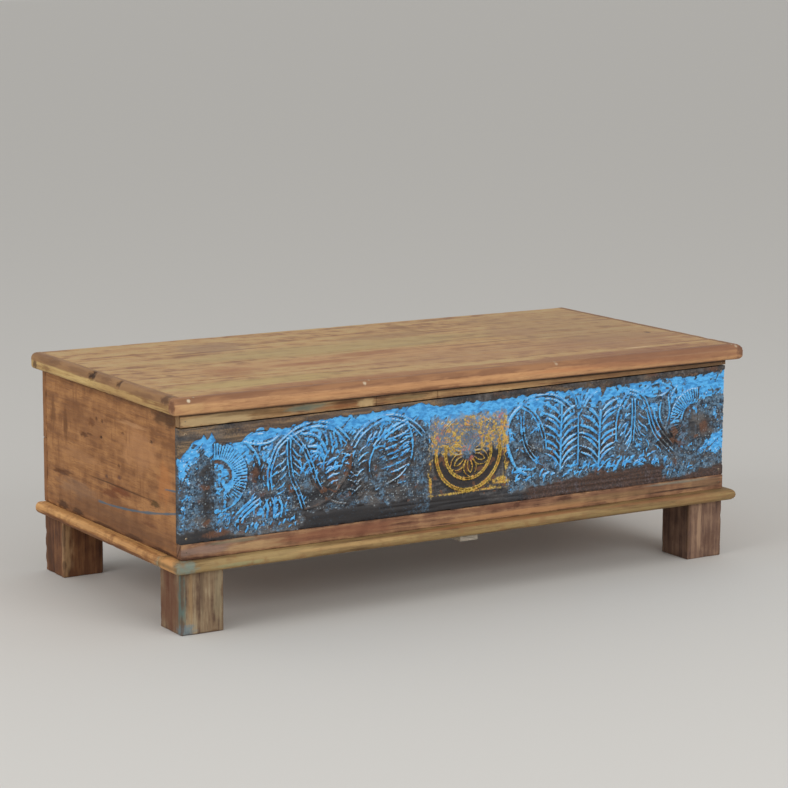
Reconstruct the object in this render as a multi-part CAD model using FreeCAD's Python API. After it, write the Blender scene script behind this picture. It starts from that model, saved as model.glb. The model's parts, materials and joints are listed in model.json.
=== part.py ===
import FreeCAD
import Part
import math
import os

Vector = FreeCAD.Vector

# A low storage trunk of reclaimed wood: plank lid with bullnosed lippings, carved front,
# moulded base frame, block legs, iron butt hinges at the back and folding lid stays inside.
# Millimetres, +Z up, front towards -Y, origin under the middle of the whole trunk.

# Carcass
body_width = 1146.0
body_depth = 546.0
body_height = 248.0
front_thickness = 18.0
side_thickness = 20.0
back_thickness = 15.0
edge_ease = 1.0

# Front boards, from the base frame up to the gap under the lid
lower_rail_height = 27.0
top_rail_height_left = 23.0
top_rail_height_right = 10.0
lid_shadow_gap = 2.0
top_rail_joint_shares = (0.33, 0.44)
back_board_joint_share = 0.48

# Base frame and legs
base_thickness = 21.0
base_overhang = 18.0
base_ledge = 32.0
base_round = 9.0
leg_height = 108.0
leg_size = 80.0
leg_chamfer = 2.0
leg_tenon_size = 26.0
leg_tenon_inset = 30.0

# Bottom and inside
bottom_thickness = 12.0
bottom_board_count = 4
stretcher_width = 38.0
stretcher_thickness = 12.0
post_size = 30.0
post_drop = 6.0

# Lid
lid_thickness = 29.0
lid_overhang = 22.0
lipping_depth = 20.0
lipping_round_top = 11.0
lipping_round_under = 7.0
lid_board_shares = (0.24, 0.27, 0.26, 0.23)
batten_width = 45.0
batten_thickness = 22.0
batten_end_clearance = 12.0
batten_place_shares = (-0.56, 0.0, 0.56)
batten_names = ("left", "centre", "right")

# Butt hinges on the back
hinge_width = 75.0
hinge_leaf_height = 25.0
hinge_leaf_thickness = 2.0
barrel_radius = 4.5
barrel_clearance = 0.5
knuckle_count = 3
knuckle_gap = 0.3
hinge_pin_radius = 2.0
hinge_place_share = 0.66

# Folding lid stays, one on each side wall, laid out from the hinge line and the bottom boards
lid_open_angle = 100.0
stay_lid_pivot_forward = 210.0
stay_lid_pivot_drop = 14.0
stay_box_pivot_forward = 95.0
stay_box_pivot_rise = 36.0
stay_arm_half_width = 8.0
stay_thickness = 3.0
stay_side_gap = 0.2
stay_rivet_radius = 3.0
stay_rivet_head_radius = 5.5
stay_rivet_head = 1.5
stay_elbow_clearance = 0.3
stay_clip = 3.5
stay_lug_half_width = 2.5
stay_lug_reach = 14.0
stay_layer_count = 4
stay_plate_half_width = 11.0
stay_plate_rise = 12.0
stay_plate_drop = 34.0
stay_flange_width = 25.0
stay_flange_length = 44.0

# Square brads in the wood, headed nails on the iron, and the clearance of what they pass through
running_clearance = 0.06
hole_clearance = 0.1
brad_width = 4.0
nail_width = 2.8
nail_head_width = 6.0
nail_head_height = 1.2
nail_bite_share = 0.8
carcass_nail_bite = 24.0
lid_nail_setback = 10.0
lid_nail_shares = (0.034, 0.317, 0.643, 0.983)
lower_rail_nail_share = 0.5
panel_nail_shares = (0.05, 0.95)
back_nail_shares = (0.2, 0.8)
batten_nail_shares = (0.12, 0.38, 0.62, 0.88)
hinge_nail_shares = (-0.34, 0.0, 0.34)
hinge_nail_height_share = 0.6
stay_plate_nail_shares = (0.5, 0.8)
stay_flange_nail_share = 0.7

# Carving on the front panel: a sunk field between plain borders
relief_depth = 4.0
leaf_height = 2.0
petal_height = 3.0
relief_root = 1.0
field_end = 8.0
field_border_under = 27.0
field_border_over = 12.0
rib_width = 5.0
leaf_half_width = 40.0
petal_half_width = 9.0

medallion_level_share = 0.44
medallion_bar_offset = 79.0
medallion_rim_radius = 69.0
medallion_disc_radius = 54.0
medallion_petal_count = 6
medallion_petal_start = 12.0
medallion_petal_end = 43.0
medallion_boss_radius = 9.0

rosette_place_share = 0.896
rosette_level_share = 0.5
rosette_rim_radius = 53.0
rosette_inner_radius = 36.0
rosette_eye_radius = 21.0
rosette_flute_count = 7
rosette_flute_width = 5.0
rosette_flute_depth = 2.0
rosette_flute_start_share = 0.12
rosette_flute_end_share = 0.86

# Places on half the field: share of its half length, share of its height
leaf_shares = (((0.212, 0.90), (0.209, 0.10)), ((0.632, 0.90), (0.636, 0.10)))
arch_shares = (
    ((0.16, 0.80), (0.30, 0.955), (0.425, 0.68)),
    ((0.43, 0.68), (0.53, 0.945), (0.632, 0.88)),
    ((0.425, 0.64), (0.47, 0.30), (0.56, 0.07)),
    ((0.56, 0.60), (0.54, 0.28), (0.44, 0.07)),
)
petal_shares = (((0.665, 0.89), (0.785, 0.94)),)
stem_place_shares = (0.335, 0.385)
stem_level_shares = (0.12, 0.84)

overrun = 5.0

# Levels and planes worked out from the sizes above
base_level = leg_height
body_level = base_level + base_thickness
lid_level = body_level + body_height
top_level = lid_level + lid_thickness
front_top = lid_level - lid_shadow_gap
bottom_top = body_level + bottom_thickness
stay_box_pivot_drop = lid_level - bottom_top - stay_box_pivot_rise

total_depth = lid_overhang + body_depth + barrel_clearance + 2 * barrel_radius
lid_front = -total_depth / 2
body_front = lid_front + lid_overhang
body_back = body_front + body_depth
hinge_y = body_back + barrel_clearance + barrel_radius

half_width = body_width / 2
inner_half_width = half_width - side_thickness
lid_half_width = half_width + lid_overhang
base_half_width = half_width + base_overhang
inner_front = body_front + front_thickness
inner_back = body_back - back_thickness

pieces = {}
drillings = {}


def block(x0, x1, y0, y1, z0, z1):
    return Part.makeBox(x1 - x0, y1 - y0, z1 - z0, Vector(x0, y0, z0))


def eased_block(x0, x1, y0, y1, z0, z1, ease=edge_ease):
    solid = block(x0, x1, y0, y1, z0, z1)
    return solid.makeChamfer(ease, solid.Edges)


def rod(radius, start, direction, length):
    return Part.makeCylinder(radius, length, start, direction)


def face_of(points):
    return Part.Face(Part.makePolygon(points + points[:1]))


def arc(first, middle, last):
    return Part.Arc(first, middle, last).toShape()


def drill(names, cutter):
    for name in names:
        drillings.setdefault(name, []).append(cutter)


def fused(solids):
    if len(solids) == 1:
        return solids[0]
    return solids[0].multiFuse(solids[1:]).removeSplitter()


def rounded_outline(low, high, bottom, top, round_low, round_high, radii, at):
    """Rectangle whose low or high side is rounded under and over; at(u, z) gives a point."""
    under, over = radii
    lean = 1 - math.sqrt(0.5)
    edges = []
    if round_low:
        points = [at(low + over, top), at(low + lean * over, top - lean * over), at(low, top - over)]
        points += [at(low, bottom + under), at(low + lean * under, bottom + lean * under)]
        points.append(at(low + under, bottom))
        edges += [arc(*points[:3]), Part.makeLine(points[2], points[3]), arc(*points[3:])]
        start, turn = points[0], points[5]
    else:
        edges.append(Part.makeLine(at(low, top), at(low, bottom)))
        start, turn = at(low, top), at(low, bottom)
    if round_high:
        points = [at(high - under, bottom), at(high - lean * under, bottom + lean * under)]
        points += [at(high, bottom + under), at(high, top - over)]
        points += [at(high - lean * over, top - lean * over), at(high - over, top)]
        edges += [Part.makeLine(turn, points[0]), arc(*points[:3])]
        edges += [Part.makeLine(points[2], points[3]), arc(*points[3:]), Part.makeLine(points[5], start)]
    else:
        corner_under, corner_over = at(high, bottom), at(high, top)
        edges += [Part.makeLine(turn, corner_under), Part.makeLine(corner_under, corner_over)]
        edges.append(Part.makeLine(corner_over, start))
    return Part.Face(Part.Wire(Part.__sortEdges__(edges)))


def front_moulding(half_length, y0, y1, z0, z1, radii):
    """Full-length strip, rounded along its front edge and over both of its ends."""
    along = rounded_outline(y0, y1, z0, z1, True, False, radii, lambda u, z: Vector(-half_length, u, z))
    across = rounded_outline(-half_length, half_length, z0, z1, True, True, radii,
                             lambda u, z: Vector(u, y0, z))
    return along.extrude(Vector(2 * half_length, 0, 0)).common(across.extrude(Vector(0, y1 - y0, 0)))


def side_moulding(side, inner, outer, y0, y1, z0, z1, radii):
    """Strip along one end of the trunk, rounded along its outer edge only."""
    low, high = sorted((side * inner, side * outer))
    outline = rounded_outline(low, high, z0, z1, side < 0, side > 0, radii, lambda u, z: Vector(u, y0, z))
    return outline.extrude(Vector(0, y1 - y0, 0))


def square_bar(start, direction, length, width):
    """Square bar from a point along one axis of the trunk."""
    end = start + direction * length
    across = Vector(1 - abs(direction.x), 1 - abs(direction.y), 1 - abs(direction.z)) * (width / 2)
    low = Vector(min(start.x, end.x), min(start.y, end.y), min(start.z, end.z)) - across
    high = Vector(max(start.x, end.x), max(start.y, end.y), max(start.z, end.z)) + across
    return block(low.x, high.x, low.y, high.y, low.z, high.z)


def nail(seat, outward, width, length, names):
    """Square nail driven from a seat into the named pieces, flush with the seat."""
    inward = outward * -1
    drill(names, square_bar(seat, inward, length + hole_clearance, width + 2 * hole_clearance))
    return square_bar(seat, inward, length, width)


def brad(seat, outward, length, names):
    return nail(seat, outward, brad_width, length, names)


def plate_nail(seat, outward, plate_thickness, wood_thickness, names):
    """Nail that holds an iron plate to a board, with a square head standing on the plate."""
    shank = nail(seat, outward, nail_width, plate_thickness + nail_bite_share * wood_thickness, names)
    return fused([shank, square_bar(seat, outward, nail_head_height, nail_head_width)])


# Carcass walls

def top_rail_foot(x):
    """Lower edge of the top rail, which tapers from the left end to the right."""
    share = (x + half_width) / body_width
    return front_top - top_rail_height_left - share * (top_rail_height_right - top_rail_height_left)


def front_board(x0, x1, bottoms, tops):
    points = [Vector(x0, body_front, bottoms[0]), Vector(x1, body_front, bottoms[1]),
              Vector(x1, body_front, tops[1]), Vector(x0, body_front, tops[0])]
    return face_of(points).extrude(Vector(0, front_thickness, 0))


def build_front_rails():
    lower_top = body_level + lower_rail_height
    pieces["front_lower_rail"] = eased_block(
        -half_width, half_width, body_front, inner_front, body_level, lower_top)
    joints = [-half_width] + [share * body_width - half_width for share in top_rail_joint_shares] + [half_width]
    for name, x0, x1 in zip(("left", "middle", "right"), joints[:-1], joints[1:]):
        rail = front_board(x0, x1, (top_rail_foot(x0), top_rail_foot(x1)), (front_top, front_top))
        pieces["front_top_rail_" + name] = rail.makeChamfer(edge_ease, rail.Edges)


def build_walls():
    joint = body_level + back_board_joint_share * body_height
    for name, z0, z1 in (("lower", body_level, joint), ("upper", joint, lid_level)):
        pieces["back_board_" + name] = eased_block(-half_width, half_width, inner_back, body_back, z0, z1)
    for name, side in (("left", -1), ("right", 1)):
        x0, x1 = sorted((side * half_width, side * inner_half_width))
        pieces["side_board_" + name] = eased_block(x0, x1, inner_front, inner_back, body_level, lid_level)
        for end, y0, y1 in (("front", inner_front, inner_front + post_size),
                            ("back", inner_back - post_size, inner_back)):
            x0, x1 = sorted((side * inner_half_width, side * (inner_half_width - post_size)))
            pieces["corner_post_%s_%s" % (end, name)] = block(x0, x1, y0, y1, bottom_top, lid_level - post_drop)


def build_carcass_nails():
    panel_foot = body_level + lower_rail_height
    joint = body_level + back_board_joint_share * body_height
    nails = []
    for name, side in (("left", -1), ("right", 1)):
        x = side * (half_width - side_thickness / 2)
        side_board = "side_board_" + name
        panel_top = top_rail_foot(x)
        rows = [("front_lower_rail", body_level + lower_rail_nail_share * lower_rail_height)]
        for share in panel_nail_shares:
            rows.append(("carved_front_panel", panel_foot + share * (panel_top - panel_foot)))
        rows.append(("front_top_rail_" + name, (panel_top + front_top) / 2))
        for board, z in rows:
            seat = Vector(x, body_front, z)
            nails.append(brad(seat, Vector(0, -1, 0), front_thickness + carcass_nail_bite, (board, side_board)))
        for board, z0, z1 in (("lower", body_level, joint), ("upper", joint, lid_level)):
            for share in back_nail_shares:
                seat = Vector(x, body_back, z0 + share * (z1 - z0))
                nails.append(brad(seat, Vector(0, 1, 0), back_thickness + carcass_nail_bite,
                                  ("back_board_" + board, side_board)))
    pieces["carcass_nails"] = Part.makeCompound(nails)


# Carved front panel

def field_top(x):
    return top_rail_foot(x) - field_border_over


def field_point(side, shares):
    """Point of the carving, on the ground of the sunk field."""
    across, up = shares
    x = side * across * (half_width - field_end)
    foot = body_level + lower_rail_height + field_border_under
    return Vector(x, body_front + relief_depth + relief_root, foot + up * (field_top(x) - foot))


def arc_band(first, middle, last, width):
    """Flat band of even width that follows the arc through three points of the front."""
    circle = arc(first, middle, last).Curve
    grow = width / 2 / circle.Radius

    def shifted(point, factor):
        return circle.Center + (point - circle.Center) * (1 + factor)
    outer = [shifted(point, grow) for point in (first, middle, last)]
    inner = [shifted(point, -grow) for point in (last, middle, first)]
    edges = [arc(*outer), Part.makeLine(outer[2], inner[0]), arc(*inner), Part.makeLine(inner[2], outer[0])]
    return Part.Face(Part.Wire(edges))


def straight_band(first, last, width):
    along = (last - first).normalize()
    aside = Vector(along.z, 0, -along.x) * (width / 2)
    return face_of([first + aside, last + aside, last - aside, first - aside])


def lens(first, last, half):
    """Pointed oval between two tips."""
    along = (last - first).normalize()
    aside = Vector(along.z, 0, -along.x) * half
    middle = (first + last) / 2
    return Part.Face(Part.Wire([arc(first, middle + aside, last), arc(last, middle - aside, first)]))


def ring(centre, radius, width):
    axis = Vector(0, 1, 0)
    outer = Part.Wire(Part.makeCircle(radius + width / 2, centre, axis))
    inner = Part.Wire(Part.makeCircle(radius - width / 2, centre, axis))
    return Part.Face(outer).cut(Part.Face(inner)).Faces[0]


def raised(faces, height):
    return [face.extrude(Vector(0, -relief_root - height, 0)) for face in faces]


def turned(centre, radius, angle):
    return centre + Vector(math.cos(angle), 0, math.sin(angle)) * radius


def leaf_relief(side, tip_shares, foot_shares):
    """Pointed leaf and its raised centre rib."""
    tip, foot = field_point(side, tip_shares), field_point(side, foot_shares)
    return lens(tip, foot, leaf_half_width), straight_band(tip, foot, rib_width)


def stem_relief(side, place):
    """Upright fern stem."""
    low, high = [field_point(side, (place, level)) for level in stem_level_shares]
    return straight_band(low, high, rib_width)


def rosette_relief(side):
    """Half rosette that opens towards the middle of the panel, with a fluted rim."""
    centre = field_point(side, (rosette_place_share, rosette_level_share))

    def half_circle(radius):
        top, foot = turned(centre, radius, math.pi / 2), turned(centre, radius, -math.pi / 2)
        return top, centre - Vector(side * radius, 0, 0), foot
    rim_width = rosette_rim_radius - rosette_inner_radius
    rim = arc_band(*half_circle(rosette_inner_radius + rim_width / 2), rim_width)
    top, middle, foot = half_circle(rosette_eye_radius)
    eye = Part.Face(Part.Wire([arc(top, middle, foot), Part.makeLine(foot, top)]))
    flutes = []
    for index in range(rosette_flute_count):
        angle = math.pi / 2 + side * math.pi * (index + 0.5) / rosette_flute_count
        start = turned(centre, rosette_inner_radius + rosette_flute_start_share * rim_width, angle)
        end = turned(centre, rosette_inner_radius + rosette_flute_end_share * rim_width, angle)
        flutes.append(straight_band(start, end, rosette_flute_width))
    return [rim, eye], flutes


def medallion_relief():
    """Round lotus on a raised disc, with a rim, between two upright bars."""
    centre = field_point(1, (0, medallion_level_share))
    foot, head = field_point(1, (0, 0)), field_point(1, (0, 1))
    rim = ring(centre, medallion_rim_radius, rib_width)
    disc, boss = [Part.Face(Part.Wire(Part.makeCircle(radius, centre, Vector(0, 1, 0))))
                  for radius in (medallion_disc_radius, medallion_boss_radius)]
    bars = [straight_band(foot + Vector(turn * medallion_bar_offset, 0, 0),
                          head + Vector(turn * medallion_bar_offset, 0, 0), rib_width) for turn in (-1, 1)]
    petals = []
    for index in range(medallion_petal_count):
        angle = 2 * math.pi * index / medallion_petal_count
        petals.append(lens(turned(centre, medallion_petal_start, angle),
                           turned(centre, medallion_petal_end, angle), petal_half_width))
    return [rim, boss] + bars, petals, disc


def build_carved_panel():
    foot = body_level + lower_rail_height
    panel = front_board(-half_width, half_width, (foot, foot),
                        (top_rail_foot(-half_width), top_rail_foot(half_width)))
    panel = panel.makeChamfer(edge_ease, panel.Edges)
    field_half = half_width - field_end
    field_foot = foot + field_border_under
    corners = [Vector(-field_half, body_front, field_foot), Vector(field_half, body_front, field_foot),
               Vector(field_half, body_front, field_top(field_half)),
               Vector(-field_half, body_front, field_top(-field_half))]
    sunk = face_of([corner - Vector(0, overrun, 0) for corner in corners])
    panel = panel.cut(sunk.extrude(Vector(0, overrun + relief_depth, 0)))
    ribs, petals, disc = medallion_relief()
    low_forms, flutes = [disc], []
    for side in (-1, 1):
        for tip, leaf_foot in leaf_shares:
            leaf, leaf_rib = leaf_relief(side, tip, leaf_foot)
            low_forms.append(leaf)
            ribs.append(leaf_rib)
        ribs += [arc_band(*[field_point(side, place) for place in arch], rib_width) for arch in arch_shares]
        ribs += [stem_relief(side, place) for place in stem_place_shares]
        petals += [lens(field_point(side, start), field_point(side, end), petal_half_width)
                   for start, end in petal_shares]
        bands, rim_flutes = rosette_relief(side)
        ribs += bands
        flutes += rim_flutes
    solids = raised(low_forms, leaf_height) + raised(petals, petal_height) + raised(ribs, relief_depth)
    panel = panel.multiFuse(solids).removeSplitter()
    rim_cut = Vector(0, -relief_depth - relief_root + rosette_flute_depth, 0)
    flute_reach = Vector(0, -rosette_flute_depth - overrun, 0)
    cutters = [face.translated(rim_cut).extrude(flute_reach) for face in flutes]
    pieces["carved_front_panel"] = panel.cut(Part.makeCompound(cutters))


# Base frame, bottom and legs

def build_base_frame():
    radii = (base_round, base_round)
    front_inner = inner_front + base_ledge
    back_inner = inner_back - base_ledge
    side_inner = inner_half_width - base_ledge
    pieces["base_frame_front"] = front_moulding(
        base_half_width, body_front - base_overhang, front_inner, base_level, body_level, radii)
    for name, side in (("left", -1), ("right", 1)):
        pieces["base_frame_" + name] = side_moulding(
            side, side_inner, base_half_width, front_inner, body_back, base_level, body_level, radii)
    pieces["base_frame_back"] = block(-side_inner, side_inner, back_inner, body_back, base_level, body_level)
    pieces["bottom_stretcher"] = block(-stretcher_width / 2, stretcher_width / 2, body_front, body_back,
                                       base_level - stretcher_thickness, base_level)


def build_bottom():
    width = 2 * inner_half_width / bottom_board_count
    for index in range(bottom_board_count):
        x0 = -inner_half_width + index * width
        pieces["bottom_board_%d" % (index + 1)] = block(x0, x0 + width, inner_front, inner_back,
                                                        body_level, bottom_top)


def build_legs():
    """Block legs, each with a stub tenon in a mortise of the base frame."""
    for side_name, side in (("left", -1), ("right", 1)):
        for end_name, y_outer, inward, strip in (("front", body_front, 1, "front"),
                                                 ("back", body_back, -1, side_name)):
            x0, x1 = sorted((side * half_width, side * (half_width - leg_size)))
            y0, y1 = sorted((y_outer, y_outer + inward * leg_size))
            leg = eased_block(x0, x1, y0, y1, 0, base_level, leg_chamfer)
            foot = Vector(side * (half_width - leg_tenon_inset), y_outer + inward * leg_tenon_inset,
                          base_level - overrun)
            up = Vector(0, 0, 1)
            tenon = square_bar(foot, up, base_thickness + overrun, leg_tenon_size)
            pieces["leg_%s_%s" % (end_name, side_name)] = fused([leg, tenon])
            drill(("base_frame_" + strip,), square_bar(foot, up, base_thickness + 2 * overrun,
                                                       leg_tenon_size + 2 * hole_clearance))


# Lid

def build_lid():
    radii = (lipping_round_under, lipping_round_top)
    boards_front = lid_front + lipping_depth
    boards_back = body_back - lipping_depth
    boards_half = lid_half_width - lipping_depth
    pieces["lid_lipping_front"] = front_moulding(
        lid_half_width, lid_front, boards_front, lid_level, top_level, radii)
    for name, side in (("left", -1), ("right", 1)):
        pieces["lid_lipping_" + name] = side_moulding(
            side, boards_half, lid_half_width, boards_front, body_back, lid_level, top_level, radii)
    pieces["lid_lipping_back"] = eased_block(-boards_half, boards_half, boards_back, body_back,
                                             lid_level, top_level)
    y0 = boards_front
    for index, share in enumerate(lid_board_shares):
        y1 = y0 + share * (boards_back - boards_front)
        pieces["lid_board_%d" % (index + 1)] = eased_block(-boards_half, boards_half, y0, y1,
                                                           lid_level, top_level)
        y0 = y1
    nails = []
    for share in lid_nail_shares:
        seat = Vector((2 * share - 1) * lid_half_width, lid_front + lid_nail_setback, top_level)
        nails.append(brad(seat, Vector(0, 0, 1), nail_bite_share * lid_thickness, ("lid_lipping_front",)))
    pieces["lid_nails"] = Part.makeCompound(nails)


def build_battens():
    y0 = inner_front + batten_end_clearance
    y1 = inner_back - batten_end_clearance
    nails = []
    for name, place in zip(batten_names, batten_place_shares):
        x = place * half_width
        batten = "lid_batten_" + name
        pieces[batten] = block(x - batten_width / 2, x + batten_width / 2, y0, y1,
                               lid_level - batten_thickness, lid_level)
        for index, share in enumerate(batten_nail_shares):
            seat = Vector(x, y0 + share * (y1 - y0), lid_level - batten_thickness)
            board = "lid_board_%d" % (index + 1)
            nails.append(brad(seat, Vector(0, 0, -1), batten_thickness + nail_bite_share * lid_thickness,
                              (batten, board)))
    return nails


# Hinges

def hinge_leaf(middle, up):
    """Flat leaf with its share of the knuckles; up is 1 on the lid and -1 on the back board."""
    x0 = middle - hinge_width / 2
    step = hinge_width / knuckle_count
    reach = barrel_radius + barrel_clearance
    z0, z1 = sorted((lid_level, lid_level + up * hinge_leaf_height))
    leaf = block(x0, x0 + hinge_width, body_back, body_back + hinge_leaf_thickness, z0, z1)
    along = Vector(1, 0, 0)
    knuckles = []
    for index in range(knuckle_count):
        start = x0 + index * step
        if (index % 2 == 0) == (up < 0):
            seat = Vector(start + knuckle_gap / 2, hinge_y, lid_level)
            knuckles.append(rod(barrel_radius, seat, along, step - knuckle_gap))
        else:
            notch = block(start - knuckle_gap / 2, start + step + knuckle_gap / 2, body_back - overrun,
                          body_back + hinge_leaf_thickness + overrun, lid_level - reach, lid_level + reach)
            leaf = leaf.cut(notch)
    bore = rod(hinge_pin_radius + running_clearance, Vector(x0 - overrun, hinge_y, lid_level), along,
               hinge_width + 2 * overrun)
    return fused([leaf] + knuckles).cut(bore)


def hinge_nails(middle, up, names):
    z = lid_level + up * hinge_nail_height_share * hinge_leaf_height
    nails = []
    for share in hinge_nail_shares:
        seat = Vector(middle + share * hinge_width, body_back + hinge_leaf_thickness, z)
        nails.append(plate_nail(seat, Vector(0, 1, 0), hinge_leaf_thickness, back_thickness, names))
    return nails


def build_hinges():
    pins, body_nails, lid_nails = [], [], []
    for name, side in (("left", -1), ("right", 1)):
        middle = side * hinge_place_share * half_width
        body_leaf, lid_leaf = "hinge_body_leaf_" + name, "hinge_lid_leaf_" + name
        pieces[body_leaf] = hinge_leaf(middle, -1)
        pieces[lid_leaf] = hinge_leaf(middle, 1)
        body_nails += hinge_nails(middle, -1, (body_leaf, "back_board_upper"))
        lid_nails += hinge_nails(middle, 1, (lid_leaf, "lid_lipping_back"))
        start = Vector(middle - hinge_width / 2, hinge_y, lid_level)
        pins.append(rod(hinge_pin_radius, start, Vector(1, 0, 0), hinge_width))
    pieces["hinge_pins"] = Part.makeCompound(pins)
    return body_nails, lid_nails


# Lid stays: hinge line, lid pivot, elbow and box pivot are the corners of a parallelogram,
# so the lower arm turns with the lid and the upper arm keeps its slope.

def stay_point(x, forward, rise):
    return Vector(x, hinge_y - forward, lid_level + rise)


def flat_bar(x, depth, first, last, half, clip=0.0):
    """Flat bar in a plane across the trunk, half its width longer than its two pivots, with clipped corners."""
    along = (last - first).normalize()
    aside = Vector(0, along.z, -along.y)
    points = []
    for end, out in ((last, 1), (first, -1)):
        tip, shoulder = end + along * out * half, end + along * out * (half - clip)
        points += [shoulder + aside * out * half, tip + aside * out * (half - clip)]
        points += [tip - aside * out * (half - clip), shoulder - aside * out * half]
    points = [Vector(x, point.y, point.z) for point in points]
    if clip == 0:
        points = points[::2]
    return face_of(points).extrude(Vector(depth, 0, 0))


def rivet(x0, x1, centre):
    """Round rivet from x0 to x1 with a square forged head beyond x1."""
    out = Vector(math.copysign(1, x1 - x0), 0, 0)
    shank = rod(stay_rivet_radius, Vector(x0, centre.y, centre.z), out, abs(x1 - x0))
    head = square_bar(Vector(x1, centre.y, centre.z), out, stay_rivet_head, 2 * stay_rivet_head_radius)
    return fused([shank, head])


def turned_back(point, pivot, angle):
    """Point turned about an axis along X through pivot, from the open lid to the closed one."""
    y, z = point.y - pivot.y, point.z - pivot.z
    c, s = math.cos(angle), math.sin(angle)
    return Vector(point.x, pivot.y + y * c - z * s, pivot.z + y * s + z * c)


def build_stay(name, side):
    """Wall plate, lower arm, upper arm, lid bracket and rivets, in layers inward from the wall."""
    wall = side * inner_half_width
    inward = Vector(-side, 0, 0)
    depth = -side * stay_thickness

    def layer(count):
        return wall - side * count * (stay_thickness + stay_side_gap)

    def bore(radius, centre):
        start = Vector(wall + side * overrun, centre.y, centre.z)
        return rod(radius, start, inward, 2 * overrun + abs(layer(stay_layer_count) - wall))

    hinge = stay_point(wall, 0, 0)
    box_pivot = stay_point(wall, stay_box_pivot_forward, -stay_box_pivot_drop)
    lid_pivot = stay_point(wall, stay_lid_pivot_forward, -stay_lid_pivot_drop)
    elbow = box_pivot + lid_pivot - hinge
    turning_bore = stay_rivet_radius + running_clearance

    plate = block(*sorted((wall, wall + depth)), box_pivot.y - stay_plate_half_width,
                  box_pivot.y + stay_plate_half_width, box_pivot.z - stay_plate_drop,
                  box_pivot.z + stay_plate_rise)
    pieces["stay_wall_plate_" + name] = plate.cut(bore(turning_bore, box_pivot))
    body_nails = []
    for share in stay_plate_nail_shares:
        seat = Vector(wall + depth, box_pivot.y, box_pivot.z - share * stay_plate_drop)
        body_nails.append(plate_nail(seat, inward, stay_thickness, side_thickness,
                                     ("stay_wall_plate_" + name, "side_board_" + name)))

    angle = math.radians(lid_open_angle)
    open_elbow = turned_back(elbow, box_pivot, -angle)
    slope = (hinge - box_pivot).normalize()
    aside = Vector(0, -slope.z, slope.y)
    flank = open_elbow + aside * (stay_arm_half_width + stay_lug_half_width + stay_elbow_clearance)
    lug_foot, lug_end = [turned_back(flank + slope * reach, box_pivot, angle)
                         for reach in (stay_lug_reach - stay_lug_half_width, stay_lug_reach)]
    lower = fused([flat_bar(layer(1), depth, box_pivot, elbow, stay_arm_half_width, stay_clip),
                   flat_bar(layer(1), depth, elbow, lug_end, stay_lug_half_width),
                   flat_bar(layer(1), layer(2) + depth - layer(1), lug_foot, lug_end, stay_lug_half_width)])
    pieces["stay_lower_arm_" + name] = lower.cut(bore(turning_bore, box_pivot)).cut(bore(turning_bore, elbow))
    upper = flat_bar(layer(2), depth, elbow, lid_pivot, stay_arm_half_width, stay_clip)
    pieces["stay_upper_arm_" + name] = upper.cut(
        bore(stay_rivet_radius + stay_elbow_clearance, elbow)).cut(bore(turning_bore, lid_pivot))

    tab_x = layer(3)
    tab = flat_bar(tab_x, depth, lid_pivot, stay_point(wall, stay_lid_pivot_forward, -stay_arm_half_width),
                   stay_arm_half_width)
    flange = block(*sorted((tab_x, tab_x - side * stay_flange_width)), lid_pivot.y - stay_flange_length / 2,
                   lid_pivot.y + stay_flange_length / 2, lid_level - stay_thickness, lid_level)
    bracket = "stay_lid_bracket_" + name
    pieces[bracket] = fused([tab, flange]).cut(bore(turning_bore, lid_pivot))
    lid_nails = []
    held = [bracket] + ["lid_board_%d" % (index + 1) for index in range(len(lid_board_shares))]
    for turn in (-1, 1):
        seat = Vector(tab_x - side * stay_flange_nail_share * stay_flange_width,
                      lid_pivot.y + turn * stay_flange_nail_share * stay_flange_length / 2,
                      lid_level - stay_thickness)
        lid_nails.append(plate_nail(seat, Vector(0, 0, -1), stay_thickness, lid_thickness, held))

    pieces["stay_elbow_rivet_" + name] = rivet(layer(1), layer(3), elbow)
    box_rivet = rivet(wall, layer(2), box_pivot)
    lid_rivet = rivet(tab_x + depth, layer(2), lid_pivot)
    return box_rivet, body_nails, lid_rivet, lid_nails


def build_stays():
    stays = [build_stay(name, side) for name, side in (("left", -1), ("right", 1))]
    box_rivets, body_nails, lid_rivets, lid_nails = zip(*stays)
    pieces["stay_wall_rivets"] = Part.makeCompound(box_rivets)
    pieces["stay_lid_rivets"] = Part.makeCompound(lid_rivets)
    return sum(body_nails, []), sum(lid_nails, [])


def build_trunk():
    build_front_rails()
    build_carved_panel()
    build_walls()
    build_carcass_nails()
    build_base_frame()
    build_bottom()
    build_legs()
    build_lid()
    hinge_body_nails, hinge_lid_nails = build_hinges()
    stay_body_nails, stay_lid_nails = build_stays()
    pieces["body_hardware_nails"] = Part.makeCompound(hinge_body_nails + stay_body_nails)
    pieces["lid_hardware_nails"] = Part.makeCompound(hinge_lid_nails + stay_lid_nails)
    pieces["lid_batten_nails"] = Part.makeCompound(build_battens())
    for name, cutters in drillings.items():
        pieces[name] = pieces[name].cut(Part.makeCompound(cutters))


build_trunk()
os.makedirs("parts", exist_ok=True)
for name, shape in pieces.items():
    shape.exportStep("parts/%s.step" % name)
print(len(pieces), "sub-parts written")
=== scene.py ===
# %% [markdown]
# # A carved trunk in its old blue coat
# The object is a low storage trunk made of reclaimed boards. A carved panel with worn sky-blue paint
# fills its front, an olive-brown lid lies over it, and four stub legs carry it.
# The packed construction model gives the size and place of every piece, so it is loaded first and never
# moved. Everything below only dresses it: worn boards, carving, nails, iron and finishes.

# %% Load the frame
import json
import math

import bmesh
import bpy
import numpy as np
from mathutils import Matrix, Vector, noise

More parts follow.
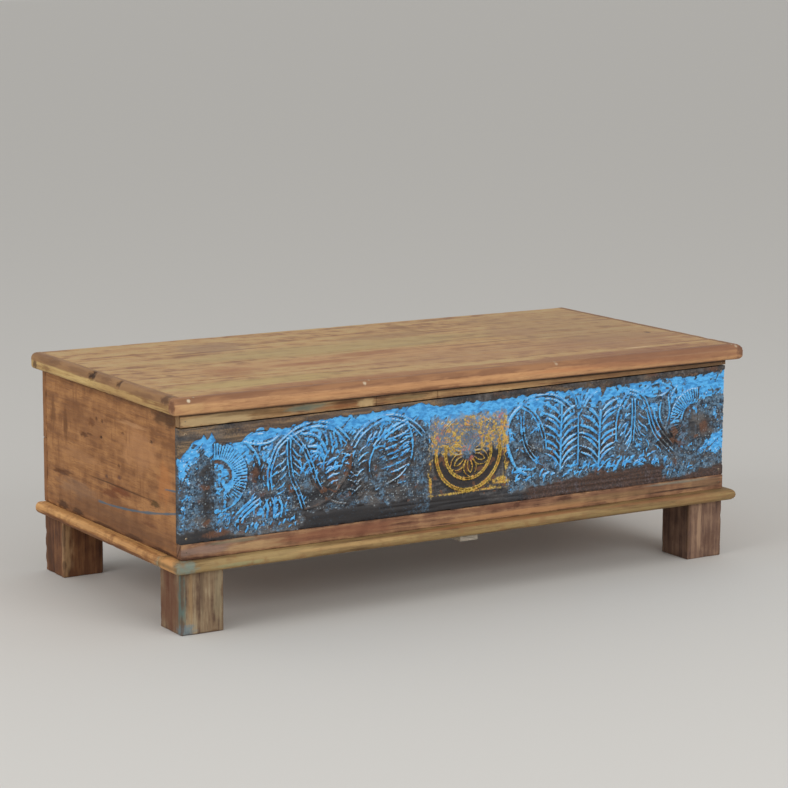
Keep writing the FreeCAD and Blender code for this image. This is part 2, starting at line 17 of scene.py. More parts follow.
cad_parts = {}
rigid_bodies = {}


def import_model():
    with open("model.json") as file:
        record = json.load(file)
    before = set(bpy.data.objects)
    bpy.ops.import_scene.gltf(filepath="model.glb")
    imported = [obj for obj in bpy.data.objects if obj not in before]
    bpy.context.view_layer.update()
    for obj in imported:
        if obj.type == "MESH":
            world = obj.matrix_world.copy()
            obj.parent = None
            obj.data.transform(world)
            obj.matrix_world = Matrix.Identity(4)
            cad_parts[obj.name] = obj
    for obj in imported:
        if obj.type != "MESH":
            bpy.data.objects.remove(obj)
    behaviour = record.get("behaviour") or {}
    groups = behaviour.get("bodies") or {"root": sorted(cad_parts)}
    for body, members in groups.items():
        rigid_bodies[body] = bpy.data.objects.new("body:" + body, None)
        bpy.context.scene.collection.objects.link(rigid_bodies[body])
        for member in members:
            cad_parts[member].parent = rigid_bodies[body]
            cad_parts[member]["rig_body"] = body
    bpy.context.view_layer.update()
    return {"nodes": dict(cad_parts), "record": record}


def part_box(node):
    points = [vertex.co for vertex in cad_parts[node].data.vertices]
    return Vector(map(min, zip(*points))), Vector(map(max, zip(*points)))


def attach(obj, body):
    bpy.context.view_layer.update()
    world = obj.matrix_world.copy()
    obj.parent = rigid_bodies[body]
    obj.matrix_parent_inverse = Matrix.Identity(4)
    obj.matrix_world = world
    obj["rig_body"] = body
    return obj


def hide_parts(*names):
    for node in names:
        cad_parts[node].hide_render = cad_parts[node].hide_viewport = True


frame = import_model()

nodes = frame["nodes"]
slots = {part["node"]: part["material_slot"] for part in frame["record"]["subparts"]}
scene = bpy.context.scene
scene.view_settings.view_transform = "Standard"
MM = 0.001


def box_mm(node):
    """Lowest and highest corner of a construction node, in millimetres."""
    low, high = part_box(node)
    return low / MM, high / MM


# %% [markdown]
# ## The camera
# The photograph looks down on the front left corner through a long lens. The place and turn were worked
# out from the corners of the trunk, so the camera could also be set by eye, but then edges would drift.
# A turn matrix built from three directions is easier to read than three Euler angles.

# %% Camera at the photograph's angle
photo_pixels = 788
focal_pixels = 2589
sensor_mm = 36
camera_place = Vector((-2.487, -3.998, 1.149))
camera_yaw = math.radians(31.96)
camera_pitch = math.radians(9.99)
camera_roll = math.radians(0.33)

forward = Vector((
    math.sin(camera_yaw) * math.cos(camera_pitch),
    math.cos(camera_yaw) * math.cos(camera_pitch),
    -math.sin(camera_pitch),
))
level_right = Vector((math.cos(camera_yaw), -math.sin(camera_yaw), 0))
level_up = level_right.cross(forward)
camera_right = math.cos(camera_roll) * level_right + math.sin(camera_roll) * level_up
camera_up = math.cos(camera_roll) * level_up - math.sin(camera_roll) * level_right

camera_data = bpy.data.cameras.new("photo_camera")
camera_data.sensor_width = sensor_mm
camera_data.lens = sensor_mm * focal_pixels / photo_pixels
camera = bpy.data.objects.new("photo_camera", camera_data)
turn = Matrix((camera_right, camera_up, -forward)).transposed()
camera.matrix_world = Matrix.Translation(camera_place) @ turn.to_4x4()
scene.collection.objects.link(camera)
scene.camera = camera
print("camera lens:", round(camera_data.lens, 1), "mm")

# %% [markdown]
# ## Floor and light
# A plain pale floor and soft light let the wood speak. One big lamp from the front right gives the shading
# that the photograph has, with the left side a little darker, and the world fills the shadows.
# The level is chosen so that a colour renders about as it is written.


# %% Pale floor, soft lamps and an even world
def colour(red, green, blue):
    """A colour as it looks on a screen, 0 to 255, turned into the linear values that shaders take."""
    def linear(value):
        value /= 255
        return value / 12.92 if value <= 0.04045 else ((value + 0.055) / 1.055) ** 2.4
    return (linear(red), linear(green), linear(blue), 1.0)


floor_half = 40.0
floor_mesh = bpy.data.meshes.new("floor")
floor_corners = [(x * floor_half, y * floor_half, 0) for x, y in ((-1, -1), (1, -1), (1, 1), (-1, 1))]
floor_mesh.from_pydata(floor_corners, [], [(0, 1, 2, 3)])
floor = bpy.data.objects.new("floor", floor_mesh)
scene.collection.objects.link(floor)
floor_finish = bpy.data.materials.new("pale_floor")
floor_finish.use_nodes = True
floor_shader = floor_finish.node_tree.nodes["Principled BSDF"]
floor_shader.inputs["Base Color"].default_value = colour(206, 204, 200)
floor_shader.inputs["Roughness"].default_value = 0.85
floor_mesh.materials.append(floor_finish)

world = bpy.data.worlds.new("even_world")
world.use_nodes = True
world.node_tree.nodes["Background"].inputs["Color"].default_value = colour(244, 243, 241)
world.node_tree.nodes["Background"].inputs["Strength"].default_value = 0.72
scene.world = world


def soft_lamp(name, place, size, watts):
    """A square lamp that faces the middle of the trunk."""
    data = bpy.data.lights.new(name, "AREA")
    data.size = size
    data.energy = watts
    lamp = bpy.data.objects.new(name, data)
    lamp.location = place
    lamp.rotation_euler = (Vector((0, 0, 0.2)) - lamp.location).to_track_quat("-Z", "Y").to_euler()
    scene.collection.objects.link(lamp)


soft_lamp("front_right_lamp", Vector((0.9, -4.6, 2.1)), size=2.8, watts=90)
soft_lamp("left_lamp", Vector((-4.0, -0.6, 2.6)), size=2.6, watts=58)

# %% [markdown]
# ## Node recipes
# All finishes are procedural, so they are built from the same few kinds of nodes again and again.
# A small class with short ways to add a noise, a mix or a range keeps each finish readable. The nodes could
# be wired one by one, but then the colours would drown in plumbing. A tint is three numbers from 0 to 255.


# %% A short way to write node trees
class Recipe:
    """Short ways to add nodes to one node tree and wire them together."""

    def __init__(self, tree):
        self.tree = tree

    def feed(self, socket, value):
        if isinstance(value, bpy.types.NodeSocket):
            self.tree.links.new(value, socket)
        elif socket.type == "RGBA":
            socket.default_value = colour(*value)
        else:
            socket.default_value = value

    def add(self, kind, inputs, **settings):
        made = self.tree.nodes.new(kind)
        for name, value in settings.items():
            setattr(made, name, value)
        for key, value in inputs.items():
            self.feed(made.inputs[key], value)
        return made

    def maths(self, operation, first, second=0.0):
        return self.add("ShaderNodeMath", {0: first, 1: second}, operation=operation).outputs[0]

    def times(self, first, second):
        return self.maths("MULTIPLY", first, second)

    def plus(self, first, second):
        return self.maths("ADD", first, second)

    def minus(self, first, second):
        return self.maths("SUBTRACT", first, second)

    def vector(self, operation, first, second):
        made = self.add("ShaderNodeVectorMath", {0: first, 1: second}, operation=operation)
        return made.outputs["Value" if operation == "LENGTH" else "Vector"]

    def stretched(self, place, factors):
        return self.vector("MULTIPLY", place, factors)

    def span(self, value, low, high, bottom=0.0, top=1.0):
        inputs = {0: value, 1: low, 2: high, 3: bottom, 4: top}
        return self.add("ShaderNodeMapRange", inputs, interpolation_type="SMOOTHSTEP").outputs[0]

    def mix(self, share, first, second):
        inputs = {0: share, 6: first, 7: second}
        return self.add("ShaderNodeMix", inputs, data_type="RGBA").outputs[2]

    def noise(self, place, scale, detail, distortion=0.0):
        inputs = {"Vector": place, "Scale": scale, "Detail": detail, "Distortion": distortion}
        return self.add("ShaderNodeTexNoise", inputs).outputs[0]

    def attribute(self, name):
        return self.add("ShaderNodeAttribute", {}, attribute_name=name).outputs["Fac"]

    def group(self, tree, inputs):
        return self.add("ShaderNodeGroup", inputs, node_tree=tree).outputs


print("short ways to add nodes:", [name for name in vars(Recipe) if not name.startswith("_")])


# %% Materials and groups made with recipes
class Finish(Recipe):
    """A new material: its shader, places on the piece in millimetres, and the colour laid so far."""

    def __init__(self, name):
        self.material = bpy.data.materials.new(name)
        self.material.use_nodes = True
        super().__init__(self.material.node_tree)
        self.shader = self.tree.nodes["Principled BSDF"]
        metres = self.add("ShaderNodeTexCoord", {}).outputs["Object"]
        self.place = self.stretched(metres, (1 / MM,) * 3)

    def set(self, label, value):
        self.feed(self.shader.inputs[label], value)

    def paint(self, shade):
        self.shade = shade
        self.set("Base Color", shade)

    def bump(self, height, strength, distance):
        inputs = {"Strength": strength, "Distance": distance, "Height": height}
        self.set("Normal", self.add("ShaderNodeBump", inputs).outputs[0])


def new_group(name, inputs, outputs):
    """An empty shader group with named sockets: its recipe, what it is given and what it puts out."""
    tree = bpy.data.node_groups.new(name, "ShaderNodeTree")
    kinds = {"v": "NodeSocketVector", "c": "NodeSocketColor", "f": "NodeSocketFloat"}
    for label, kind in inputs.items():
        tree.interface.new_socket(label, in_out="INPUT", socket_type=kinds[kind])
    for label, kind in outputs.items():
        tree.interface.new_socket(label, in_out="OUTPUT", socket_type=kinds[kind])
    entry = tree.nodes.new("NodeGroupInput")
    leave = tree.nodes.new("NodeGroupOutput")
    return Recipe(tree), entry.outputs, leave.inputs


print("a finish can:", [name for name in vars(Finish) if not name.startswith("_")])

# %% [markdown]
# ## Grain, stains and rubbed edges
# Every board shares four effects. Grain is long drifting bands with fine fibres, short dark pores and some
# patchiness. A saw leaves faint lines across a board. A stain is a soft ragged spot at a given place. A
# rubbed edge is where handling wore the colour away. Each is a node group with its own sockets, so that a
# change to the grain reaches every board at once.

# %% Shader group: old wood grain
recipe, given, result = new_group(
    "old_wood_grain",
    {"Place": "v", "Stretch": "v", "Pale": "c", "Mid": "c", "Dark": "c", "Pores": "f", "Mottle": "f"},
    {"Colour": "c", "Fibre": "f", "Height": "f"},
)
laid = recipe.stretched(given["Place"], given["Stretch"])
drift = recipe.noise(laid, 0.45, 4.0, 0.9)
bands = recipe.noise(laid, 1.7, 4.0, 0.5)
fibre = recipe.noise(laid, 5.0, 4.0)
pore_noise = recipe.noise(laid, 11.0, 2.0)
blotch = recipe.minus(recipe.noise(given["Place"], 0.035, 8.0), 0.5)
tone = recipe.plus(recipe.times(drift, 0.42), recipe.times(bands, 0.34))
tone = recipe.plus(tone, recipe.times(fibre, 0.24))
tone = recipe.plus(tone, recipe.times(blotch, given["Mottle"]))
shade = recipe.mix(recipe.span(tone, 0.38, 0.5), given["Dark"], given["Mid"])
shade = recipe.mix(recipe.span(tone, 0.49, 0.61), shade, given["Pale"])
pores = recipe.times(recipe.span(pore_noise, 0.57, 0.7), given["Pores"])
half_pores = recipe.times(pores, 0.5)
recipe.feed(result["Colour"], recipe.mix(half_pores, shade, given["Dark"]))
recipe.feed(result["Fibre"], fibre)
recipe.feed(result["Height"], recipe.minus(tone, half_pores))
old_wood_grain = recipe.tree
print("group:", old_wood_grain.name, "with", len(old_wood_grain.nodes), "nodes")

# %% Shader group: saw lines across a board
recipe, given, result = new_group("saw_lines", {"Place": "v", "Stretch": "v"}, {"Mask": "f"})
laid = recipe.stretched(given["Place"], given["Stretch"])
lines = recipe.span(recipe.noise(laid, 1.0, 2.0), 0.57, 0.68)
worn_away = recipe.span(recipe.noise(given["Place"], 0.012, 3.0), 0.42, 0.6)
recipe.feed(result["Mask"], recipe.times(lines, worn_away))
saw_lines = recipe.tree
print("group:", saw_lines.name)

# %% Shader group: a ragged stain
recipe, given, result = new_group(
    "ragged_stain", {"Place": "v", "Centre": "v", "Reach": "v", "Ragged": "f"}, {"Mask": "f"})
offset = recipe.vector("DIVIDE", recipe.vector("SUBTRACT", given["Place"], given["Centre"]), given["Reach"])
away = recipe.vector("LENGTH", offset, (0, 0, 0))
rough_edge = recipe.minus(recipe.noise(offset, 2.3, 6.0), 0.5)
away = recipe.plus(away, recipe.times(rough_edge, given["Ragged"]))
recipe.feed(result["Mask"], recipe.span(away, 1.15, 0.45))
ragged_stain = recipe.tree
print("group:", ragged_stain.name)

# %% Shader group: a rubbed edge
recipe, given, result = new_group(
    "rubbed_edge", {"Place": "v", "Edge": "f", "Reach": "f"}, {"Mask": "f"})
broken = recipe.minus(recipe.noise(given["Place"], 0.05, 5.0), 0.5)
edge = recipe.plus(given["Edge"], recipe.times(broken, 1.3))
start = recipe.minus(1.0, given["Reach"])
recipe.feed(result["Mask"], recipe.span(edge, start, recipe.plus(start, 0.35)))
rubbed_edge = recipe.tree
print("group:", rubbed_edge.name)

# %% [markdown]
# ## One function for all the bare wood
# The boards came from different old pieces, so each kind has its own three tones and its own stains.
# One function builds such a finish from the groups. A stain is given in millimetres on the trunk, as its
# centre, its reach, its tint and its strength, so it sits where the photograph shows it. A few of these marks
# are painted shade under overhangs and painted highlights on rounded edges, laid in the same way.

# %% Stains on a finish
stain_ragged = 1.3


def flat_stains(axis, level, depth, rows):
    """Stains on a face square to one axis: rows of two places, two reaches, a tint and a strength."""
    stains = []
    for u, v, reach_u, reach_v, tint, strength in rows:
        centre = [u, v]
        centre.insert(axis, level)
        reach = [reach_u, reach_v]
        reach.insert(axis, depth)
        stains.append((centre, reach, tint, strength))
    return stains


def stained(finish, shade, stains):
    """Lays ragged stains over a colour: each has a centre, a reach, a tint and a strength."""
    for centre, reach, tint, strength in stains:
        stain = finish.group(ragged_stain, {
            "Place": finish.place, "Centre": centre, "Reach": reach, "Ragged": stain_ragged})
        shade = finish.mix(finish.times(stain["Mask"], strength), shade, tint)
    return shade


print("stains have edges ragged by", stain_ragged, "of their reach")

# %% A wood finish with its own tones and stains
grain_along = 0.0045
grain_across = 0.085
saw_along = 0.12
saw_across = 0.016
rub_strength = 0.75
cap_strength = 0.7


def stretch(axis, along, across):
    """Scales for a pattern that runs along one axis."""
    factors = [across] * 3
    factors[axis] = along
    return factors


def wood(name, axis, pale, mid, dark, stains=(), edge=None, edge_reach=0.3, pores=1.0, shine=(0.55, 0.75),
         finer=1.0, mottle=0.3, saw=0.0):
    """A procedural finish for boards whose grain runs along one axis (0, 1 or 2)."""
    finish = Finish(name)
    grain = finish.group(old_wood_grain, {
        "Place": finish.place, "Stretch": stretch(axis, grain_along * finer, grain_across * finer),
        "Pale": pale, "Mid": mid, "Dark": dark, "Pores": pores, "Mottle": mottle})
    shade = grain["Colour"]
    if saw:
        lines = finish.group(saw_lines, {
            "Place": finish.place, "Stretch": stretch(axis, saw_along, saw_across)})
        shade = finish.mix(finish.times(lines["Mask"], saw), shade, dark)
    shade = stained(finish, shade, stains)
    if edge:
        rub = finish.group(rubbed_edge, {
            "Place": finish.place, "Edge": finish.attribute("edge"), "Reach": edge_reach})
        shade = finish.mix(finish.times(rub["Mask"], rub_strength), shade, edge)
    end_grain = finish.mix(0.6, dark, mid)
    finish.paint(finish.mix(finish.times(finish.attribute("cap"), cap_strength), shade, end_grain))
    finish.set("Roughness", finish.span(grain["Fibre"], 0.3, 0.7, *shine))
    finish.bump(grain["Height"], 0.45, 1.1 * MM)
    finish.set("Specular IOR Level", 0.2)
    return finish


print("grain bands are about", round(1 / grain_across), "mm wide and", round(1 / grain_along), "mm long")

# %% [markdown]
# ## Boards with worn edges
# A board from a planer is a box, but these boards are old: their edges are eased unevenly, chipped here and
# there, and their faces wander a little. A bevelled cube would look new, so each board is drawn as a section
# swept along its grain, and every ring of points is pushed inwards by smooth noise, more at the edges.

# %% Sections and rings of a worn board
arc_steps = 4
edge_fade = 7.0
end_nose = 1.5
ease_angles = (0, 25, 50, 70)


def section(width, height, radii, step):
    """Rows of place, outward direction and nearness to an edge, round a section centred on zero."""
    signs = ((1, 1), (-1, 1), (-1, -1), (1, -1))
    arcs = []
    for index, (side_u, side_v) in enumerate(signs):
        radius = radii[index]
        centre = np.array((side_u * (width / 2 - radius), side_v * (height / 2 - radius)))
        angles = np.radians(90 * (index + np.linspace(0, 1, arc_steps + 1)))
        outward = np.column_stack((np.cos(angles), np.sin(angles)))
        arcs.append((centre + radius * outward, outward))
    rows = []
    for index, (points, outward) in enumerate(arcs):
        rows += [(*p, *n, 1.0) for p, n in zip(points, outward)]
        start, end = points[-1], arcs[(index + 1) % 4][0][0]
        run = np.linalg.norm(end - start)
        count = max(1, round(run / step))
        for share in np.arange(1, count) / count:
            nearness = math.exp(-min(share, 1 - share) * run / edge_fade)
            rows.append((*(start + share * (end - start)), *outward[-1], nearness))
    return np.array(rows)


def along_places(length, step, nose):
    """Places along a board, closer together where its ends are rounded over."""
    eased = [nose * (1 - math.cos(math.radians(angle))) for angle in ease_angles]
    middle = np.linspace(nose, length - nose, max(3, round((length - 2 * nose) / step)))
    return np.array(eased + list(middle) + [length - place for place in reversed(eased)])


def rounded_by(radius, distance):
    """How far a quarter-round edge has fallen away at a distance from the end."""
    inside = np.clip(radius - distance, 0, radius)
    return radius - np.sqrt(radius ** 2 - inside ** 2)


print("a section of 40 by 20 mm has", len(section(40, 20, (2,) * 4, 12)), "points")

# %% Worn boards as meshes
swell_size = 95
ripple_size = 31
chip_size = 23
chip_rarity = 0.18


def wear(point, seed, wander, chip, nearness):
    """How far the surface has worn inwards at a point, in millimetres."""
    shift = Vector((seed * 7.3, seed * 3.1, seed * 5.7))
    swell = noise.noise(point / swell_size + shift) + 0.5 * noise.noise(point / ripple_size + shift)
    bite = max(0.0, noise.noise(point / chip_size - shift) - chip_rarity)
    return wander * (0.55 + 0.36 * swell) + chip * nearness * bite


def board_shell(low, high, along, radii, step=12.0, wander=0.45, chip=3.0, seed=1, ends=None, form=None):
    """Points, faces, edge nearness and end marks of one worn board between two corners."""
    across_u, across_v = (along + 1) % 3, (along + 2) % 3
    size = high - low
    middle = (low + high) / 2
    ring = section(size[across_u], size[across_v], radii, step)
    reach = max(ends) if ends else end_nose
    places = along_places(size[along], step, reach)
    points, edges, caps = [], [], []
    for place in places:
        from_end = min(place, size[along] - place)
        end_nearness = math.exp(-from_end / edge_fade)
        inset = 0.0 if ends else float(rounded_by(end_nose, from_end))
        for u, v, out_u, out_v, side_nearness in ring:
            point = Vector((0, 0, 0))
            point[along] = low[along] + place
            point[across_u] = middle[across_u] + u - inset * out_u
            point[across_v] = middle[across_v] + v - inset * out_v
            if ends:
                point.z = min(point.z, high.z - float(rounded_by(ends[0], from_end)))
                point.z = max(point.z, low.z + float(rounded_by(ends[1], from_end)))
            if form:
                point = form(point)
            nearness = max(side_nearness, end_nearness)
            inward = wear(point, seed, wander, chip, nearness)
            point[across_u] -= inward * out_u
            point[across_v] -= inward * out_v
            points.append(point)
            edges.append(nearness)
            caps.append(1.0 if from_end < 1e-6 else 0.0)
    count = len(ring)
    last = len(places) - 1
    faces = []
    for start in range(0, last * count, count):
        for i in range(count):
            j = (i + 1) % count
            faces.append((start + i, start + j, start + count + j, start + count + i))
    faces.append(tuple(range(count))[::-1])
    faces.append(tuple(last * count + i for i in range(count)))
    return points, faces, {"edge": edges, "cap": caps}


sample = board_shell(Vector((0, 0, 0)), Vector((100, 40, 20)), 0, (2,) * 4)
print("a worn board of 100 by 40 by 20 mm has", len(sample[1]), "faces")


# %% Pieces from shells
def piece(name, shell, finish, node_names, smooth_angle=40):
    """A finished piece: a mesh at the origin that rides with the nodes that it stands for."""
    points, faces, marks = shell
    mesh = bpy.data.meshes.new(name)
    mesh.from_pydata([tuple(p * MM for p in point) for point in points], [], faces)
    for label, values in marks.items():
        mesh.attributes.new(label, "FLOAT", "POINT").data.foreach_set("value", values)
    mesh.shade_smooth()
    mesh.set_sharp_from_angle(angle=math.radians(smooth_angle))
    mesh.materials.append(finish.material)
    made = bpy.data.objects.new(name, mesh)
    scene.collection.objects.link(made)
    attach(made, nodes[node_names[0]]["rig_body"])
    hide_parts(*node_names)
    return made


def worn_board(node, axis, finish, radius=2.0, **sizes):
    """A worn board that stands for one node with the same box."""
    low, high = box_mm(node)
    radii = sizes.pop("radii", (radius,) * 4)
    piece("worn_" + node, board_shell(low, high, axis, radii, **sizes), finish, [node])


print("material slots:", sorted(set(slots.values())))

# %% [markdown]
# ## The lid
# The lid is four wide boards inside a frame of rounded strips. Its top is a waxed olive tan with pinkish and
# brown streaks that run along the boards. The same finish covers the four boards, because the old surface
# was planed and waxed as one, and the stains are placed where the photograph has them.

# %% Lid boards
X, Y, Z = 0, 1, 2
lid_top = 406
rust = (152, 98, 64)
plum = (146, 116, 92)
lid_stains = flat_stains(Z, lid_top, 90, [
    (-120, -60, 420, 45, (184, 138, 96), 0.5),
    (120, -140, 330, 70, (168, 126, 92), 0.5),
    (420, -140, 190, 90, (158, 116, 86), 0.6),
    (-380, -90, 60, 60, rust, 0.5),
    (-200, -75, 110, 16, rust, 0.65),
    (-60, -30, 90, 22, rust, 0.7),
    (60, 20, 80, 12, plum, 0.6),
    (-380, -200, 230, 38, (178, 156, 100), 0.6),
    (-80, 50, 420, 60, (172, 150, 102), 0.65),
    (310, 45, 75, 45, (172, 126, 92), 0.5),
    (-330, 122, 80, 9, (132, 92, 58), 0.7),
    (-285, 165, 90, 60, plum, 0.6),
    (70, 130, 150, 30, (146, 112, 82), 0.55),
    (150, 200, 20, 60, (136, 100, 66), 0.5),
    (210, -30, 260, 3.5, (118, 80, 54), 0.75),
    (-180, -258, 360, 26, rust, 0.7),
    (330, -258, 280, 28, (140, 92, 68), 0.7),
])
lid_stains += flat_stains(Z, lid_top, 30, [(400, -222, 36, 4, (216, 186, 148), 0.8)])
lid_stains += flat_stains(Z, lid_top, 90, [(430, 60, 220, 230, (154, 124, 92), 0.4)])
lid_stains += flat_stains(Z, lid_top, 30, [
    (530, -80, 7, 9, (92, 64, 46), 0.9),
    (-492, -72, 9, 8, (116, 80, 52), 0.7),
])
lid_top_wood = wood("waxed_lid_wood", X, (188, 158, 110), (184, 145, 98), (140, 100, 70), lid_stains,
                    edge=(172, 138, 96), edge_reach=0.1, shine=(0.46, 0.62), finer=1.2, mottle=0.4)
lid_board_numbers = range(1, 5)
for number in lid_board_numbers:
    worn_board(f"lid_board_{number}", X, lid_top_wood, radius=0.8, wander=0.4, chip=0.8, seed=number)
print("lid boards:", len(lid_board_numbers))

# %% [markdown]
# ## The lid's rounded strips
# The strips round the lid are bullnosed: a large round on top and a smaller one under. The upper half keeps
# the dark patina of the top, and the lower half was planed and is pale. The front strip runs over the ends of
# the side strips, so its own ends are rounded too, which shows at the near corner.

# %% A finish in two tones
seam_fade = 1.8
seam_drift = 5.0


def two_tone(finish, axis, upper, blotches, seam, strength, marks):
    """Lays a blotched patina over a finish, above a seam height in millimetres, and marks over it."""
    height = finish.add("ShaderNodeSeparateXYZ", {0: finish.place}).outputs["Z"]
    streak = finish.noise(finish.stretched(finish.place, (0.02, 0.02, 0.3)), 1.0, 4.0)
    ragged = finish.plus(height, finish.times(streak, seam_drift))
    middle = seam + seam_drift / 2
    above = finish.span(ragged, middle - seam_fade, middle + seam_fade, 0.0, strength)
    patch = finish.noise(finish.stretched(finish.place, stretch(axis, 0.012, 0.07)), 1.0, 8.0)
    patina = finish.mix(finish.span(patch, 0.42, 0.58), blotches, upper)
    finish.paint(stained(finish, finish.mix(above, finish.shade, patina), marks))


strip_front = -289
front_strip_stains = flat_stains(Y, strip_front, 30, [
    (-120, 390, 330, 6, (202, 150, 104), 0.5),
    (330, 391, 260, 6, (190, 128, 86), 0.5),
    (480, 398, 90, 3, (208, 170, 130), 0.6),
    (-560, 392, 30, 10, (196, 158, 110), 0.5),
])
nail_fill = (214, 200, 174)
front_strip_marks_and_shade = [
    ((-596, -280, 394), (5, 14, 14), (112, 72, 50), 0.8),
    ((-567, -287, 402), (3.8, 6, 3.4), nail_fill, 0.9),
    ((-230, -287, 402.5), (3.8, 6, 3.4), nail_fill, 0.75),
    ((170, -286, 403), (3.6, 6, 3), nail_fill, 0.4),
    ((581, -284, 403), (3.8, 6, 3.4), nail_fill, 0.75),
    # Painted shade: a dark line along the strip's lower edge, under its lower round.
    ((0, -289, 378), (900, 30, 2.4), (120, 78, 52), 0.6),
    ((430, -289, 398), (230, 40, 18), (136, 96, 74), 0.7),
    ((592, -282, 394), (14, 16, 16), (108, 74, 58), 0.8),
]
front_strip_wood = wood("front_strip_wood", X, (198, 152, 107), (180, 134, 95), (132, 92, 65),
                        front_strip_stains, shine=(0.5, 0.65), finer=1.5, mottle=0.2)
two_tone(front_strip_wood, X, (156, 113, 80), (136, 96, 70), 397, 0.9, front_strip_marks_and_shade)
side_strip_stains = flat_stains(X, -595, 20, [
    (262, 388, 10, 12, (92, 66, 44), 0.85),
    (215, 386, 22, 6, (128, 92, 58), 0.6),
    (-120, 384, 90, 6, (184, 146, 94), 0.5),
])
side_strip_marks = [
    ((-592, 30, 400), (16, 13, 9), (58, 40, 30), 0.95),
    ((-592, -78, 401), (14, 9, 7), (84, 58, 40), 0.9),
    ((-592, -30, 403), (12, 24, 4), (112, 78, 54), 0.6),
    ((-592, -252, 400), (14, 16, 9), (86, 58, 40), 0.8),
    ((-592, 180, 402), (12, 30, 5), (112, 78, 54), 0.6),
    ((-568, 0, 407), (11, 900, 5), (170, 138, 100), 0.8),
]
side_strip_wood = wood("side_strip_wood", Y, (206, 176, 118), (188, 154, 100), (140, 102, 64),
                       side_strip_stains, shine=(0.5, 0.65), mottle=0.2)
two_tone(side_strip_wood, Y, (150, 112, 77), (130, 94, 66), 393, 0.92, side_strip_marks)
print("strip stains:", len(front_strip_stains + side_strip_stains), "and marks:",
      len(front_strip_marks_and_shade + side_strip_marks))

# %% Bullnosed strips
round_top = 11.0
round_under = 7.0
back_round = 3.0
inner_edge = 0.6
outer_rim_x = 584
outer_rim_z = 392


def notched(notches):
    """A form that bites small notches into the outer top edge of a strip along Y."""
    def form(point):
        for y, reach, depth in notches:
            push = depth * math.exp(-((point.y - y) / reach) ** 2)
            if abs(point.x) > outer_rim_x and point.z > outer_rim_z:
                point = Vector((point.x - math.copysign(push, point.x), point.y, point.z - 0.5 * push))
        return point
    return form


knocks = notched([(33, 7, 5.0), (20, 5, 3.0), (-78, 6, 2.5)])
worn_board("lid_lipping_front", X, front_strip_wood, step=8.0, wander=0.3, chip=0.8, seed=11,
           radii=(inner_edge, round_top, round_under, inner_edge), ends=(round_top, round_under))
worn_board("lid_lipping_left", Y, side_strip_wood, step=4.0, wander=0.4, chip=1.6, seed=12, form=knocks,
           radii=(inner_edge, inner_edge, round_under, round_top))
worn_board("lid_lipping_right", Y, side_strip_wood, step=8.0, wander=0.4, chip=1.5, seed=13,
           radii=(round_top, round_under, inner_edge, inner_edge))
worn_board("lid_lipping_back", X, lid_top_wood, step=8.0, wander=0.5, chip=1.5, seed=14,
           radii=(back_round, inner_edge, inner_edge, back_round))

# %% [markdown]
# ## Rails of the front
# Above the carved board run three short rails, butted end to end and cut to a long taper, and below it runs
# one reddish rail. They still hold smears of green and grey paint. The taper is read from the node's own
# points, so the rails follow the construction model.


# %% Top rails on a taper
def edge_height(node, end, side):
    """The highest (side 1) or lowest (side -1) point of a node at its left (-1) or right (1) end, in mm."""
    points = np.array([vertex.co for vertex in nodes[node].data.vertices]) / MM
    limit = points[:, 0].max() if end > 0 else points[:, 0].min()
    at_end = points[np.abs(points[:, 0] - limit) < 0.5][:, 2]
    return at_end.max() if side > 0 else at_end.min()


def tapered(node):
    """A form that lifts a board's lower edge to the node's own taper."""
    low, high = box_mm(node)
    left = edge_height(node, -1, -1)
    right = edge_height(node, 1, -1)

    def form(point):
        foot = left + (right - left) * (point.x - low.x) / (high.x - low.x)
        share = (high.z - point.z) / (high.z - low.z)
        return Vector((point.x, point.y, high.z - share * (high.z - foot)))
    return form


front_face = -267
rail_stains_and_shadow = flat_stains(Y, front_face, 30, [
    (-500, 362, 90, 12, (190, 166, 124), 0.8),
    (-400, 364, 50, 6, (126, 96, 62), 0.7),
    (-330, 366, 50, 7, (112, 126, 112), 0.7),
    (-270, 362, 60, 5, (150, 100, 62), 0.7),
    (-450, 368, 70, 4, (112, 86, 58), 0.6),
    (-250, 369, 46, 4, (104, 72, 46), 0.7),
    (-300, 356, 80, 4, (128, 88, 56), 0.6),
    (-150, 362, 40, 5, (146, 104, 66), 0.6),
    (-215, 364, 20, 9, (200, 172, 126), 0.8),
    (-130, 366, 50, 5, (132, 116, 82), 0.6),
    (60, 368, 130, 5, (176, 136, 92), 0.6),
    (330, 369, 210, 12, (122, 88, 60), 0.7),
    (520, 369, 110, 12, (94, 70, 52), 0.8),
    # Painted shadow: a dark band along the rail's top edge, under the lid's overhang.
    (0, 374, 900, 3.6, (48, 35, 28), 0.92),
])
rail_wood = wood("top_rail_wood", X, (196, 164, 118), (170, 134, 94), (112, 80, 56), rail_stains_and_shadow,
                 edge=(112, 82, 58), edge_reach=0.12, finer=1.4)
for seed, name in enumerate(("left", "middle", "right"), 20):
    node = "front_top_rail_" + name
    worn_board(node, X, rail_wood, radius=0.8, step=6.0, chip=0.9, wander=0.3, seed=seed, form=tapered(node))
print("top rails rise at their foot from", round(edge_height("front_top_rail_left", -1, -1), 1), "to",
      round(edge_height("front_top_rail_right", 1, -1), 1), "mm")

